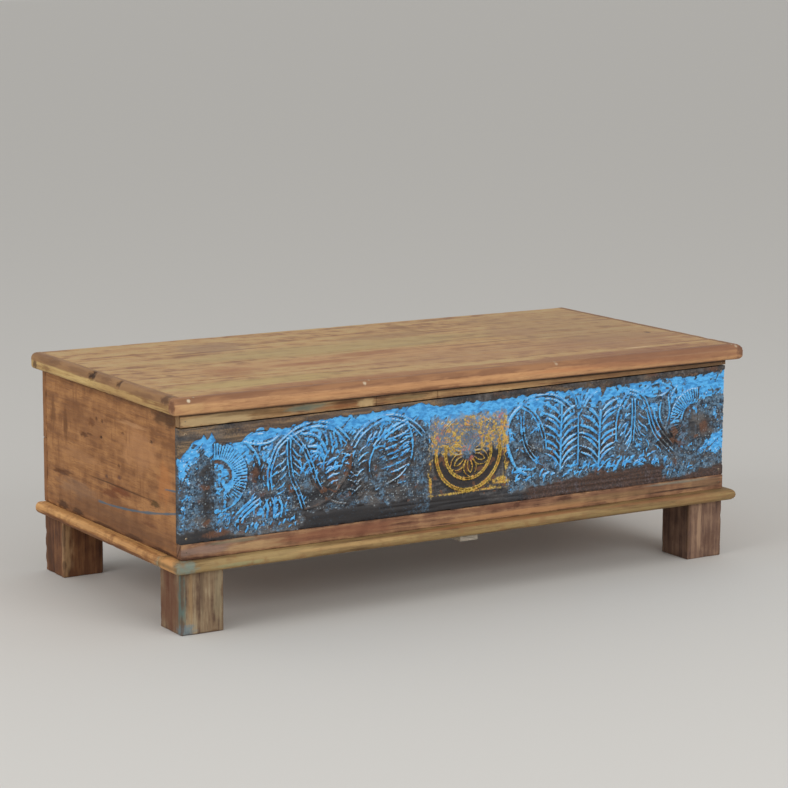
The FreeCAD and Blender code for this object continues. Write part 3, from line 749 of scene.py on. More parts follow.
# %% The lower rail
lower_rail_stains = flat_stains(Y, front_face, 30, [
    (-530, 143, 70, 9, (152, 128, 116), 0.6),
    (-470, 152, 60, 4, (132, 126, 104), 0.6),
    (-430, 140, 70, 9, (186, 154, 112), 0.6),
    (-260, 143, 150, 12, (134, 86, 64), 0.7),
    (102, 150, 9, 5, (50, 34, 28), 0.9),
    (480, 138, 95, 2.2, (62, 42, 34), 0.9),
    (120, 136, 200, 6, (186, 138, 94), 0.7),
    (20, 150, 160, 5, (112, 72, 54), 0.6),
    (380, 148, 160, 5, (116, 82, 62), 0.6),
    (470, 152, 90, 3, (120, 132, 122), 0.5),
    (300, 142, 150, 7, (136, 110, 76), 0.5),
    (525, 144, 56, 9, (126, 102, 76), 0.5),
])
lower_rail_wood = wood("lower_rail_wood", X, (164, 126, 92), (134, 97, 73), (88, 60, 46), lower_rail_stains,
                       edge=(96, 66, 50), edge_reach=0.08, finer=1.4, mottle=0.45)
worn_board("front_lower_rail", X, lower_rail_wood, radius=1.0, step=6.0, chip=1.0, wander=0.3, seed=25)
print("lower rail with", len(lower_rail_stains), "stains")

# %% [markdown]
# ## Sides and back
# Each end is one broad orange-brown board with knocks, dark nail stains and a thin streak of the blue paint
# that ran past the corner. Dents are pressed into the mesh, not only drawn, because they catch the light.
# The back is two plain boards of the same wood.


# %% The ends' finish: stains and runs of paint
def run_of_paint(finish, tint, start, height, slope, bend, width):
    """Lays a thin curved streak of paint over the left end, from a place along Y towards the front."""
    parts = finish.add("ShaderNodeSeparateXYZ", {0: finish.place}).outputs
    run = finish.minus(start, parts["Y"])
    rise = finish.times(run, finish.plus(finish.times(run, bend), slope))
    away = finish.maths("ABSOLUTE", finish.minus(parts["Z"], finish.plus(rise, height)))
    torn = finish.times(finish.noise(finish.place, 0.05, 5.0), width * 1.6)
    line = finish.span(finish.plus(away, torn), width * 1.9, width * 1.1)
    on_left = finish.maths("LESS_THAN", parts["X"], 0.0)
    begun = finish.times(finish.span(run, 0.0, 12.0), on_left)
    finish.paint(finish.mix(finish.times(finish.times(line, begun), 0.8), finish.shade, tint))


middle_y = 6.25
sepia = (96, 60, 36)
left_marks_and_shade = [
    (-45, 206, 44, 10, (118, 66, 38), 0.85),
    (-40, 212, 150, 1.8, (84, 54, 30), 0.85),
    (-178, 208, 20, 7, (88, 64, 34), 0.85),
    (-5, 194, 38, 8, (112, 64, 38), 0.8),
    (200, 196, 42, 5, (92, 56, 32), 0.8),
    (170, 201, 30, 3, sepia, 0.7),
    (-155, 168, 30, 4, (106, 60, 36), 0.65),
    (130, 178, 90, 18, (132, 104, 84), 0.5),
    (-60, 152, 280, 34, (118, 80, 56), 0.4),
    (190, 137, 26, 9, (58, 36, 24), 0.9),
    (20, 132, 70, 4, (62, 38, 26), 0.85),
    (130, 136, 28, 7, (58, 36, 24), 0.9),
    (-95, 134, 46, 5, (58, 36, 26), 0.9),
    (-205, 132, 60, 4, (58, 36, 26), 0.85),
    (-225, 362, 60, 18, (66, 44, 30), 0.75),
    # Painted shadow: a dark band along the top edge, under the lid's overhang.
    (-60, 372, 300, 7, (98, 66, 42), 0.6),
    (175, 290, 9, 34, (104, 66, 38), 0.7),
    (228, 300, 12, 30, (112, 74, 46), 0.6),
    (140, 315, 60, 26, (122, 80, 50), 0.6),
    (60, 300, 70, 26, (128, 86, 56), 0.45),
    (100, 281, 18, 5, sepia, 0.85),
    (76, 286, 16, 2.5, sepia, 0.75),
    (30, 288, 6, 3, (62, 40, 26), 0.9),
    (48, 318, 6, 4, sepia, 0.85),
    (25, 317, 6, 4, sepia, 0.85),
    (68, 308, 16, 9, (112, 70, 42), 0.7),
    (-164, 312, 7, 3.5, (52, 34, 24), 0.95),
    (-56, 309, 7, 3, sepia, 0.75),
    (-40, 249, 6, 4, sepia, 0.7),
    (-40, 228, 7, 4, (104, 70, 60), 0.75),
    (10, 222, 7, 4, (98, 70, 58), 0.75),
    (-120, 290, 80, 40, (184, 134, 92), 0.55),
    (-90, 330, 60, 5, (200, 152, 108), 0.5),
    (120, 240, 90, 14, (178, 130, 88), 0.5),
    (-215, 250, 30, 40, (182, 118, 68), 0.55),
    (-262, 250, 9, 110, (120, 78, 50), 0.6),
    (0, 148, 300, 24, (108, 76, 54), 0.5),
]
left_stains_and_shade = flat_stains(X, -573, 30, [(middle_y + y, *rest) for y, *rest in left_marks_and_shade])
side_wood = wood("end_board_wood", Y, (174, 125, 80), (156, 109, 69), (132, 89, 56), left_stains_and_shade,
                 edge=(92, 60, 40), edge_reach=0.15, pores=1.3, mottle=0.55, saw=0.75)
stray_blue = (74, 104, 122)
run_of_paint(side_wood, stray_blue, 54, 172, 0.0192, 0.000308, 2.6)
run_of_paint(side_wood, stray_blue, -205, 240, 0.08, 0.0, 2.2)
print("stains on the left end:", len(left_stains_and_shade))


# %% Side and back boards
def dented(dents):
    """A form that presses round dents into a side board: each has a centre, a reach and a depth."""
    def form(point):
        for y, z, reach, depth in dents:
            away = math.hypot(point.y - middle_y - y, point.z - z) / reach
            if away < 2.5:
                push = depth * math.exp(-away * away)
                point = Vector((point.x - math.copysign(push, point.x), point.y, point.z))
        return point
    return form


left_dents = [
    (100, 281, 9, 1.6), (30, 288, 5, 1.8), (48, 318, 5, 1.4), (25, 317, 5, 1.4), (68, 308, 13, 1.2),
    (-164, 312, 6, 2.0), (-56, 309, 6, 1.2), (-40, 249, 5, 1.2), (-40, 228, 6, 1.2), (10, 222, 6, 1.2),
    (-45, 206, 16, 1.0), (200, 196, 14, 1.0),
]
worn_board("side_board_left", Y, side_wood, step=4.5, wander=0.5, chip=1.6, seed=31, form=dented(left_dents))
worn_board("side_board_right", Y, side_wood, step=9.0, wander=0.6, chip=1.6, seed=32)
back_wood = wood("back_board_wood", X, (182, 132, 86), (158, 110, 70), (118, 78, 50),
                 edge=(98, 66, 44), edge_reach=0.15, saw=0.4)
worn_board("back_board_lower", X, back_wood, wander=0.6, chip=2.0, seed=33)
worn_board("back_board_upper", X, back_wood, wander=0.6, chip=2.0, seed=34)

# %% [markdown]
# ## The base frame
# A bullnosed frame lies under the box and stands a little proud of it, like a plinth. Its front strip is a
# greenish tan with bits of old paint and painted highlights along its upper round, and its left strip is
# orange, painted darker along its lower round as shade and paler along its top as a highlight.
# It is swept in the same way as the lid's strips.

# %% Base strips
base_round = 9.0
base_front_stains_and_highlights = flat_stains(Y, -285, 40, [
    (-430, 120, 150, 14, (182, 157, 108), 0.5),
    (-572, 119, 24, 14, (118, 142, 136), 0.65),
    (-470, 116, 60, 4, (140, 146, 112), 0.5),
    # The two pale thin bands at a height of 123 mm, on the upper round, are painted highlights.
    (-250, 123, 140, 4, (194, 158, 106), 0.6),
    (-60, 114, 120, 4, (150, 124, 80), 0.6),
    (150, 123, 140, 4, (170, 142, 98), 0.5),
    (60, 127, 260, 2.5, (146, 92, 60), 0.6),
    (420, 126, 160, 3, (140, 92, 62), 0.55),
    (330, 115, 120, 4, (148, 126, 84), 0.6),
    (500, 119, 70, 8, (150, 116, 78), 0.6),
])
base_front_stains_and_highlights += flat_stains(Y, -246, 34, [(-590, 121, 30, 30, (205, 152, 96), 0.95)])
base_front_wood = wood("base_front_wood", X, (158, 132, 88), (134, 108, 72), (94, 72, 48), base_front_stains_and_highlights,
                       edge=(140, 106, 70), edge_reach=0.02, finer=1.4, mottle=0.12)
base_side_stains_and_painted_light = flat_stains(X, -591, 30, [
    # Painted shade: dark ragged bands along the lower round, under the strip.
    (200, 113, 90, 6, (96, 54, 36), 0.8),
    (40, 113, 120, 5, (98, 58, 38), 0.8),
    (-100, 113, 130, 5.5, (96, 56, 38), 0.8),
])
base_side_stains_and_painted_light += flat_stains(X, -591, 40, [(-225, 117, 24, 16, (116, 136, 124), 0.6)])
base_side_stains_and_painted_light += flat_stains(X, -591, 30, [
    # Painted highlights: pale bands along the top of the round.
    (100, 123, 160, 4, (216, 166, 108), 0.6),
    (-120, 123, 120, 4, (208, 158, 104), 0.6),
])
base_side_wood = wood("base_side_wood", Y, (222, 172, 112), (202, 150, 94), (152, 104, 62), base_side_stains_and_painted_light,
                      edge=(130, 86, 52), edge_reach=0.02, finer=1.4, mottle=0.15)
worn_board("base_frame_front", X, base_front_wood, step=8.0, chip=0.7, wander=0.25, seed=41,
           ends=(base_round, base_round), radii=(inner_edge, base_round, base_round, inner_edge))
worn_board("base_frame_left", Y, base_side_wood, step=6.0, chip=1.2, wander=0.3, seed=42,
           radii=(inner_edge, inner_edge, base_round, base_round))
worn_board("base_frame_right", Y, base_side_wood, step=8.0, chip=1.2, wander=0.3, seed=43,
           radii=(base_round, base_round, inner_edge, inner_edge))
worn_board("base_frame_back", X, base_front_wood, chip=1.5, seed=44)

# %% [markdown]
# ## Legs
# The legs are offcuts of old painted beams, so no two match. Each gets its own tones, and the near one keeps
# patches of teal paint. They are worn harder than the boards, with bigger chips along the corners.

# %% Four legs
leg_tones = {
    "front_left": ((158, 140, 112), (132, 110, 86), (90, 68, 54)),
    "front_right": ((138, 110, 90), (112, 86, 72), (82, 61, 52)),
    "back_left": ((132, 92, 62), (106, 70, 48), (74, 48, 36)),
    "back_right": ((134, 100, 70), (108, 76, 54), (76, 52, 40)),
}
leg_stains = {
    "front_left": [
        ((-573, -220, 54), (24, 44, 90), (104, 62, 44), 0.7),
        ((-573, -264, 60), (9, 12, 62), (74, 108, 106), 0.75),
        ((-556, -267, 62), (5, 20, 60), (164, 132, 90), 0.4),
        ((-570, -267, 8), (26, 20, 13), (92, 126, 142), 0.6),
        ((-530, -267, 0), (60, 20, 3), (60, 48, 40), 0.6),
        ((-500, -267, 60), (14, 20, 60), (150, 136, 108), 0.6),
        ((-535, -267, 70), (5, 20, 50), (96, 78, 62), 0.6),
    ],
    "front_right": [
        ((520, -267, 60), (6, 20, 60), (168, 138, 112), 0.7),
        ((545, -267, 30), (20, 20, 24), (92, 66, 54), 0.6),
    ],
    "back_left": [
        ((-573, 200, 60), (20, 7, 70), (186, 150, 110), 0.8),
        ((-573, 260, 40), (20, 16, 40), (82, 54, 38), 0.6),
    ],
    "back_right": [],
}
leg_corner = 3.0
leg_top = box_mm("base_frame_front")[0].z
for seed, (name, tones) in enumerate(leg_tones.items(), 50):
    finish = wood("leg_wood_" + name, Z, *tones, leg_stains[name], edge=(98, 74, 56), edge_reach=0.25,
                  shine=(0.6, 0.8))
    low, high = box_mm("leg_" + name)
    shoulder = Vector((high.x, high.y, leg_top))
    shell = board_shell(low, shoulder, Z, (leg_corner,) * 4, step=5.0, wander=0.7, chip=5.0, seed=seed)
    piece("worn_leg_" + name, shell, finish, ["leg_" + name])
print("legs:", len(leg_tones))

# %% [markdown]
# ## Inside of the box
# The floor boards, corner posts, floor bearer and lid battens are bare sawn wood that only shows with the lid
# up, apart from the pale end of the bearer. They are worn boards too, with less wear, in a duller tone.

# %% Floor boards, posts, bearer and battens
dull = {"edge_reach": 0.15, "shine": (0.65, 0.85)}
sawn_wood = wood("sawn_inner_wood", X, (174, 132, 90), (150, 108, 72), (112, 76, 50),
                 edge=(120, 86, 58), **dull)
sawn_upright = wood("sawn_post_wood", Z, (168, 126, 86), (144, 104, 70), (108, 74, 50),
                    edge=(116, 84, 58), **dull)
sawn_across = wood("sawn_batten_wood", Y, (160, 116, 76), (138, 96, 62), (100, 68, 44),
                   edge=(110, 78, 52), **dull)
pale_end = wood("pale_stretcher_wood", Y, (200, 192, 176), (176, 166, 150), (132, 120, 106))
inner_boards = [(f"bottom_board_{number}", X, sawn_wood) for number in range(1, 5)]
inner_boards += [(f"corner_post_{end}_{side}", Z, sawn_upright)
                 for end in ("front", "back") for side in ("left", "right")]
inner_boards += [("lid_batten_" + name, Y, sawn_across) for name in ("left", "centre", "right")]
inner_boards += [("bottom_stretcher", Y, pale_end)]
for seed, (node, axis, finish) in enumerate(inner_boards, 60):
    worn_board(node, axis, finish, radius=1.2, step=16.0, wander=0.3, chip=1.2, seed=seed)
print("inner boards:", len(inner_boards))

# %% [markdown]
# ## The carved board: a grid to carve
# The front panel is the piece that makes this trunk. Half rosettes stand at its ends, a round lotus
# medallion sits in a square at the middle, and pointed leaves, arches and ferns fill the space between.
# It could be modelled in curves, but low relief is a height over a plane, so a fine grid of points is carved
# by adding beads along lines, and the paint is worked out from the same heights.

# %% A fine grid over the board
panel = "carved_front_panel"
panel_low, panel_high = box_mm(panel)
panel_left_top = edge_height(panel, -1, 1)
panel_right_top = edge_height(panel, 1, 1)
carve_depth = 4.0
columns = 785
rows = 120

column_shares = np.linspace(0, 1, columns)
grid_x = np.tile(panel_low.x + column_shares * (panel_high.x - panel_low.x), (rows, 1))
grid_top = panel_left_top + column_shares * (panel_right_top - panel_left_top)
grid_z = panel_low.z + np.linspace(0, 1, rows)[:, None] * (grid_top - panel_low.z)
relief = np.zeros_like(grid_x)
bare_wood = np.zeros_like(grid_x)


def ramp(values, low, high):
    """A smooth step from 0 at low to 1 at high."""
    share = np.clip((values - low) / (high - low), 0, 1)
    return share * share * (3 - 2 * share)


def fall(values, low, high):
    """A smooth step from 1 at low to 0 at high."""
    return 1 - ramp(values, low, high)


print("panel grid:", grid_x.shape, "points")

# %% [markdown]
# ## Uneven things: patches and punched dots
# Wear comes in patches and the ground between the leaves is punched with small dots. Both are seeded noise
# over the grid: patches blend random numbers at the corners of cells, in two sizes, and dots stand at one
# random place in every cell.

# %% Patches and dots
table_size = 311
dot_radius = 0.55


def lumps(cell, seed, stretch=1.0, turn=0.0):
    """Smooth noise from 0 to 1 with lumps of one size."""
    table = np.random.default_rng(seed).random((table_size, table_size))
    u = (grid_x * math.cos(turn) + grid_z * math.sin(turn)) / (cell * stretch)
    v = (grid_z * math.cos(turn) - grid_x * math.sin(turn)) / cell
    u0, v0 = np.floor(u).astype(int), np.floor(v).astype(int)
    fu, fv = ramp(u - u0, 0, 1), ramp(v - v0, 0, 1)
    column, row = u0 % table_size, v0 % table_size
    next_column, next_row = (u0 + 1) % table_size, (v0 + 1) % table_size
    low = (1 - fu) * table[column, row] + fu * table[next_column, row]
    high = (1 - fu) * table[column, next_row] + fu * table[next_column, next_row]
    return (1 - fv) * low + fv * high


def patchy(cell, seed, stretch=1.0):
    """Ragged noise from 0 to 1, with its main lumps about one cell across."""
    turn = 0.5 if stretch == 1.0 else 0.0
    return 0.6 * lumps(cell, seed, stretch, turn) + 0.4 * lumps(cell / 2.1, seed + 100, stretch, turn * 2)


def uneven(cell, seed, stretch=1.0):
    """Ragged noise from -0.5 to 0.5."""
    return patchy(cell, seed, stretch) - 0.5


def punched(pitch, seed):
    """Small round dots, one to a cell: their height from 0 to 1, and a random number for each dot."""
    shift = np.random.default_rng(seed).random((3, table_size, table_size))
    u, v = grid_x / pitch, grid_z / pitch
    u0, v0 = np.floor(u).astype(int), np.floor(v).astype(int)
    nearest = np.full(u.shape, 9.0)
    luck = np.zeros(u.shape)
    for i in (-1, 0, 1):
        for j in (-1, 0, 1):
            cell_u, cell_v = (u0 + i) % table_size, (v0 + j) % table_size
            away = np.hypot(u0 + i + shift[0][cell_u, cell_v] - u, v0 + j + shift[1][cell_u, cell_v] - v)
            luck = np.where(away < nearest, shift[2][cell_u, cell_v], luck)
            nearest = np.minimum(nearest, away)
    return np.clip(1 - (nearest / dot_radius) ** 2, 0, 1), luck


print("patches run from", round(patchy(9, 1).min(), 2), "to", round(patchy(9, 1).max(), 2))

# %% [markdown]
# ## Carving tools
# A carver cuts a line, a pair of lines, a plain ribbon, a row of leaflets or scattered strokes, so there is
# one function for each. A line is a smooth curve through a few points on the board, in millimetres from its
# middle and above the floor, and it stands up as a rounded bead.


# %% Lines through a few points
def curve_through(points, per_span=8):
    """A smooth line through a few points."""
    knots = np.array(points, float)
    padded = np.vstack((2 * knots[0] - knots[1], knots, 2 * knots[-1] - knots[-2]))
    line = []
    for a, b, c, d in zip(padded[:-3], padded[1:-2], padded[2:-1], padded[3:]):
        for t in np.arange(per_span) / per_span:
            line.append(0.5 * (2 * b + (c - a) * t + (2 * a - 5 * b + 4 * c - d) * t * t
                               + (3 * b - a - 3 * c + d) * t ** 3))
    return np.vstack((line, knots[-1]))


def near_line(line, reach):
    """The grid near a line as a pair of slices, its distance from the line and its share of the way along."""
    low, high = line.min(0) - reach, line.max(0) + reach
    inside = (grid_x > low[0]) & (grid_x < high[0]) & (grid_z > low[1]) & (grid_z < high[1])
    down, across = np.where(inside.any(1))[0], np.where(inside.any(0))[0]
    window = np.s_[down[0]:down[-1] + 1, across[0]:across[-1] + 1]
    x, z = grid_x[window], grid_z[window]
    nearest = np.full(x.shape, 1e9)
    share = np.zeros(x.shape)
    for number, ((ax, az), (bx, bz)) in enumerate(zip(line[:-1], line[1:])):
        dx, dz = bx - ax, bz - az
        t = np.clip(((x - ax) * dx + (z - az) * dz) / (dx * dx + dz * dz + 1e-9), 0, 1)
        away = np.hypot(x - ax - t * dx, z - az - t * dz)
        share = np.where(away < nearest, (number + t) / (len(line) - 1), share)
        nearest = np.minimum(nearest, away)
    return window, nearest, share


print("a line through three points has", len(curve_through([(0, 0), (9, 4), (18, 0)])), "points")


# %% Beads, pairs, ribbons and leaflets
def bead(points, width=4.5, rise=3.2, taper=0.0):
    """Raises a rounded line, thinner at its ends if it tapers."""
    window, away, share = near_line(curve_through(points), width)
    half = width / 2 * (1 - taper * np.abs(2 * share - 1) ** 2)
    height = rise * np.sqrt(np.clip(1 - (away / half) ** 2, 0, 1))
    relief[window] = np.maximum(relief[window], height)


def paired(points, gap=6.5, width=3.8, rise=3.2):
    """Raises two lines side by side."""
    line = curve_through(points, 4)
    along = np.gradient(line, axis=0)
    square = np.column_stack((-along[:, 1], along[:, 0])) / np.linalg.norm(along, axis=1)[:, None]
    bead(line + square * gap / 2, width, rise)
    bead(line - square * gap / 2, width, rise)


def ribbon(points, width=10.0, rise=3.0):
    """Raises a flat plain band whose paint has worn off."""
    window, away, _ = near_line(curve_through(points), width)
    flat = rise * ramp(away, width / 2, width / 2 - 1.5)
    relief[window] = np.maximum(relief[window], flat)
    bare_wood[window] = np.maximum(bare_wood[window], 0.75 * ramp(away, width / 2, width / 2 - 2))


def leaflets(foot, head, count, reach, lift, width=5.0, rise=2.9):
    """A row of tapered leaflets from a straight stem, steep at first and then leaning out."""
    chance = np.random.default_rng(int(abs(foot[0]) + 7 * foot[1]))
    for share in np.linspace(0, 1, count):
        x = foot[0] + share * (head[0] - foot[0])
        z = foot[1] + share * (head[1] - foot[1])
        out, up = reach * chance.uniform(0.8, 1.12), lift * chance.uniform(0.8, 1.15)
        bead([(x, z), (x + 0.42 * out, z + 0.62 * up), (x + out, z + up)], width, rise, 0.75)


def sprinkle(box, count, angle, spread, seed, length=16.0, width=4.0, rise=2.2):
    """Scattered short strokes inside a box, leaning about one way."""
    chance = np.random.default_rng(seed)
    low_x, high_x, low_z, high_z = box
    for _ in range(count):
        x, z = chance.uniform(low_x, high_x), chance.uniform(low_z, high_z)
        lean = math.radians(angle + chance.uniform(-spread, spread))
        half = 0.5 * length * chance.uniform(0.6, 1.2)
        dx, dz = half * math.cos(lean), half * math.sin(lean)
        bead([(x - dx, z - dz), (x - 0.2 * dz, z + 0.2 * dx), (x + dx, z + dz)], width, rise, 0.7)


print("carving tools ready")

# %% [markdown]
# ## Leaves, arches and ferns
# The two halves follow one scheme, but a hand carver does not mirror exactly and the left half is more worn,
# so each half keeps its own few points per line.

# %% Carving the right half: leaf, arch and ferns
bead([(122, 203), (101, 216), (86, 244), (79, 274), (84, 302), (98, 320), (112, 329)], 7.0)
paired([(112, 329), (135, 314), (151, 291), (160, 268), (163, 246)])
paired([(113, 308), (114, 284), (118, 262), (130, 240), (148, 222)], 6.0, 3.4)
leaflets((124, 258), (140, 230), 3, 22, -16, 3.6)
paired([(120, 335), (150, 341), (180, 338), (205, 325), (224, 306)], 8.0)
bead([(197, 200), (198, 260), (199, 322)], 5.5)
bead([(237, 205), (236, 280), (237, 335)], 4.2)
bead([(283, 200), (284, 250), (286, 304)], 5.5)
fern_leaf = 6.6
leaflets((197, 208), (199, 300), 8, -38, 30, fern_leaf)
leaflets((199, 204), (199, 298), 8, 34, 25, fern_leaf)
leaflets((283, 202), (285, 284), 7, -42, 30, fern_leaf)
leaflets((285, 210), (290, 304), 8, 37, 22, fern_leaf)
for tip in ((222, 345), (248, 346), (263, 346), (280, 342)):
    bead([(237, 300), ((237 + tip[0]) / 2, 327), tip], 5.0, 2.9, 0.6)
print("right half so far:", round(relief.max(), 1), "mm high")

# %% Carving the right half: pointed leaf, petals and sprigs
bead([(349, 334), (334, 316), (325, 294), (321, 268), (322, 244)], 4.5)
paired([(349, 334), (368, 328), (385, 314), (396, 290), (404, 266), (419, 241), (455, 208)], 7.0)
bead([(408, 292), (416, 268), (432, 246), (452, 226)], 3.6)
paired([(361, 318), (361, 282), (359, 254), (358, 240)])
leaflets((357, 270), (357, 244), 3, -20, -26, 4.0)
leaflets((365, 270), (365, 244), 3, 16, -24, 4.0)
leaflets((330, 250), (345, 300), 4, 14, 10, 3.6)
leaflets((372, 262), (374, 306), 4, 18, -14, 3.6)
bead([(378, 327), (398, 341), (425, 343), (447, 332)])
bead([(378, 327), (400, 321), (425, 320), (447, 332)])
bead([(392, 331), (412, 333), (434, 330)], 4.0, 2.6, 0.8)
bead([(424, 310), (422, 282), (432, 255)], 4.0)
bead([(441, 314), (444, 286), (434, 255)], 4.0)
bead([(447, 316), (455, 328), (462, 336)], 4.5, 3.0, 0.6)
sprinkle((92, 148, 214, 300), 10, -55, 15, 101, width=3.4)
sprinkle((326, 352, 226, 300), 7, 55, 15, 102)
sprinkle((368, 398, 226, 306), 9, -55, 15, 103)
sprinkle((400, 452, 206, 262), 8, -50, 12, 104, length=24)
sprinkle((96, 440, 192, 216), 80, 30, 40, 105, length=13, width=5.0)
sprinkle((440, 500, 172, 216), 12, 40, 40, 106, length=11)
print("right half carved to", round(relief.max(), 1), "mm")

# %% Carving the left half: pointed leaf and first arch
paired([(-362, 323), (-385, 306), (-397, 284), (-404, 258), (-402, 230)])
paired([(-362, 323), (-340, 300), (-324, 270), (-315, 242), (-302, 216)])
paired([(-366, 316), (-366, 284), (-361, 250), (-346, 216), (-338, 192)])
leaflets((-370, 232), (-370, 298), 6, -22, -14, 3.8)
leaflets((-358, 262), (-360, 300), 4, 24, -18, 3.8)
paired([(-362, 323), (-335, 333), (-305, 335), (-275, 325), (-250, 300)], 8.0)
bead([(-342, 322), (-316, 317), (-300, 302), (-292, 286)], 5.0)
bead([(-328, 298), (-308, 296), (-296, 276)], 6.0, 3.0, 0.5)
bead([(-324, 288), (-308, 286), (-298, 272)], 5.0, 3.0, 0.5)
leaflets((-290, 296), (-262, 290), 4, -6, 22, 4.5)
ribbon([(-243, 276), (-248, 250), (-268, 222), (-290, 202), (-334, 191)], 7.0, 2.6)
ribbon([(-320, 240), (-308, 222), (-290, 204), (-272, 195), (-254, 191)], 6.0, 2.6)
leaflets((-292, 224), (-292, 262), 4, 22, 12, 7.0)
sprinkle((-400, -374, 222, 296), 8, 35, 12, 111)
sprinkle((-354, -326, 222, 286), 8, -40, 12, 112)
sprinkle((-345, -262, 246, 316), 22, 65, 25, 113, width=4.5)
sprinkle((-440, -404, 200, 310), 14, 80, 15, 119)
sprinkle((-305, -210, 198, 280), 26, 40, 30, 114)
print("left half so far:", round(relief.max(), 1), "mm high")

# %% Carving the left half: second arch, round leaf, petals and sprigs
paired([(-240, 290), (-225, 310), (-200, 326), (-170, 334), (-140, 329), (-115, 315), (-97, 297)], 8.0)
leaflets((-212, 290), (-160, 302), 6, 10, 22, 4.2)
paired([(-130, 324), (-160, 312), (-184, 296), (-196, 284)], 7.0, 4.4)
bead([(-130, 322), (-121, 298), (-119, 270), (-126, 248), (-146, 228), (-176, 215), (-194, 208)])
bead([(-196, 284), (-206, 260), (-205, 236), (-194, 212)], 4.0)
leaflets((-124, 250), (-126, 308), 6, -58, -18, 4.2)
leaflets((-236, 208), (-228, 276), 6, 20, 14, 4.0)
leaflets((-232, 208), (-240, 270), 5, -20, 10, 4.0)
bead([(-458, 322), (-432, 336), (-404, 337), (-380, 326)])
bead([(-452, 318), (-425, 312), (-402, 314), (-380, 326)])
bead([(-440, 326), (-420, 329), (-400, 326)], 4.0, 2.6, 0.8)
bead([(-448, 318), (-431, 298), (-423, 278), (-424, 252)], 5.0)
stroke = [(-464, 190), (-444, 205), (-424, 218)]
for aside in (-5, 0, 5):
    bead([(x + aside, z - aside) for x, z in stroke], 6.0, 2.8, 0.5)
bead([(-567, 202), (-560, 190), (-548, 181)], 3.6, 2.6, 0.5)
bead([(-551, 198), (-545, 188), (-540, 180)], 3.4, 2.6, 0.5)
for x in (-409, -396, -382):
    bead([(x, 182), (x + 2, 200), (x - 3, 217)], 5.0, 3.0, 0.6)
sprinkle((-498, -344, 164, 214), 34, 65, 35, 115, length=10, width=4.4)
sprinkle((-200, -126, 212, 306), 30, 18, 12, 116, length=24)
sprinkle((-118, -94, 198, 296), 7, 80, 10, 117)
sprinkle((-568, -514, 172, 292), 34, 75, 40, 118, length=10, width=4.5)
sprinkle((-500, -330, 168, 300), 60, 70, 40, 121, length=9, width=3.4, rise=1.7)
sprinkle((-330, -92, 196, 312), 90, 55, 45, 122, length=9, width=3.4, rise=1.7)
sprinkle((84, 460, 194, 316), 130, 60, 45, 123, length=9, width=3.4, rise=1.7)
print("left half carved to", round(relief.max(), 1), "mm")

# %% [markdown]
# ## Rosettes and medallion
# These round forms follow a rule, so they are written with a radius and an angle. The rosettes have fine
# flutes between two rims and a cut crescent, and the medallion is a six-petalled lotus inside two double
# rings.

# %% Rosettes
left_rosette = (-506, 262)
right_rosette = (506, 268)
rosette_rim = 60
flute_foot = 33
flute_count = 60
crescent_radius = 28
crescent_width = 7


def polar(x, z):
    """Distance and angle from a centre, over the whole grid."""
    return np.hypot(grid_x - x, grid_z - z), np.arctan2(grid_z - z, grid_x - x)


def rim(away, radius, width, rise):
    """The height of a round rim at a radius, given the distance from its centre."""
    return rise * np.sqrt(np.clip(1 - ((away - radius) / (width / 2)) ** 2, 0, 1))


def half_rosette(x, z, facing):
    """A half flower at an end of the board, opening towards the middle."""
    away, angle = polar(x, z)
    within = ((grid_x - x) * facing > -4) & (away < rosette_rim)
    flutes = 2.9 - 2.6 * ramp(np.cos(angle * flute_count), 0.4, 0.95) * ramp(grid_z - z, -50, -24)
    height = np.where((away > flute_foot) & (away < rosette_rim), flutes, 2.0)
    height -= rim(away, crescent_radius, crescent_width, 2.0) * ramp(grid_z - z, -12, 2)
    for radius, width in ((rosette_rim, 2.6), (flute_foot, 2.6), (19, 3.4)):
        height = np.maximum(height, rim(away, radius, width, 3.0))
    relief[within] = height[within]


half_rosette(*left_rosette, 1)
half_rosette(*right_rosette, -1)
print("rosettes at", left_rosette, "and", right_rosette, "with", flute_count, "flutes to a full turn")

# %% The medallion and its frame
medallion = (-2, 256)
medallion_away, medallion_angle = polar(*medallion)
boss_radius = 15
petal_count = 6
petal_line = 2.0
lotus = 2.2 * np.sqrt(np.clip(1 - (medallion_away / boss_radius) ** 2, 0, 1))
for radius in (69.5, 65.5, 49.5, 46):
    lotus = np.maximum(lotus, rim(medallion_away, radius, 3.0, 3.0))
petal_sector = 2 * math.pi / petal_count
petal_lean = 0.12
petal_turn = medallion_angle + math.pi / 2 - petal_lean + petal_sector / 2
from_axis = np.abs(np.mod(petal_turn, petal_sector) - petal_sector / 2)
for start, end, swell in ((12, 45.5, 0.6), (15, 37, 0.25)):
    along = np.clip((medallion_away - start) / (end - start), 0, 1)
    half_width = swell * (0.72 + along - 1.72 * along ** 2)
    aside = (from_axis - half_width) * medallion_away
    inside = (medallion_away > start) & (medallion_away < end + 1)
    lotus = np.maximum(lotus, 3.0 * np.clip(1 - (aside / petal_line) ** 2, 0, 1) * inside)
lotus *= fall(grid_z, 308, 324)
relief = np.where(medallion_away < 75, lotus, relief)
frame_left, frame_right = -80, 76
frame_foot, frame_top = 184, 336
for x in (frame_left, frame_right):
    paired([(x, frame_foot), (x, 260), (x, frame_top)], 8.0, rise=1.1)
bead([(frame_left, frame_foot), (0, frame_foot), (frame_right, frame_foot)], 4.0, 1.6)
print("medallion at", medallion, "with", petal_count, "petals")

# %% [markdown]
# ## Ground, borders and wear
# The ground between the carving is punched and uneven from the chisel. Plain borders run along the top and
# part of the foot, where long scratches follow the grain. Wear takes the crests down in patches.

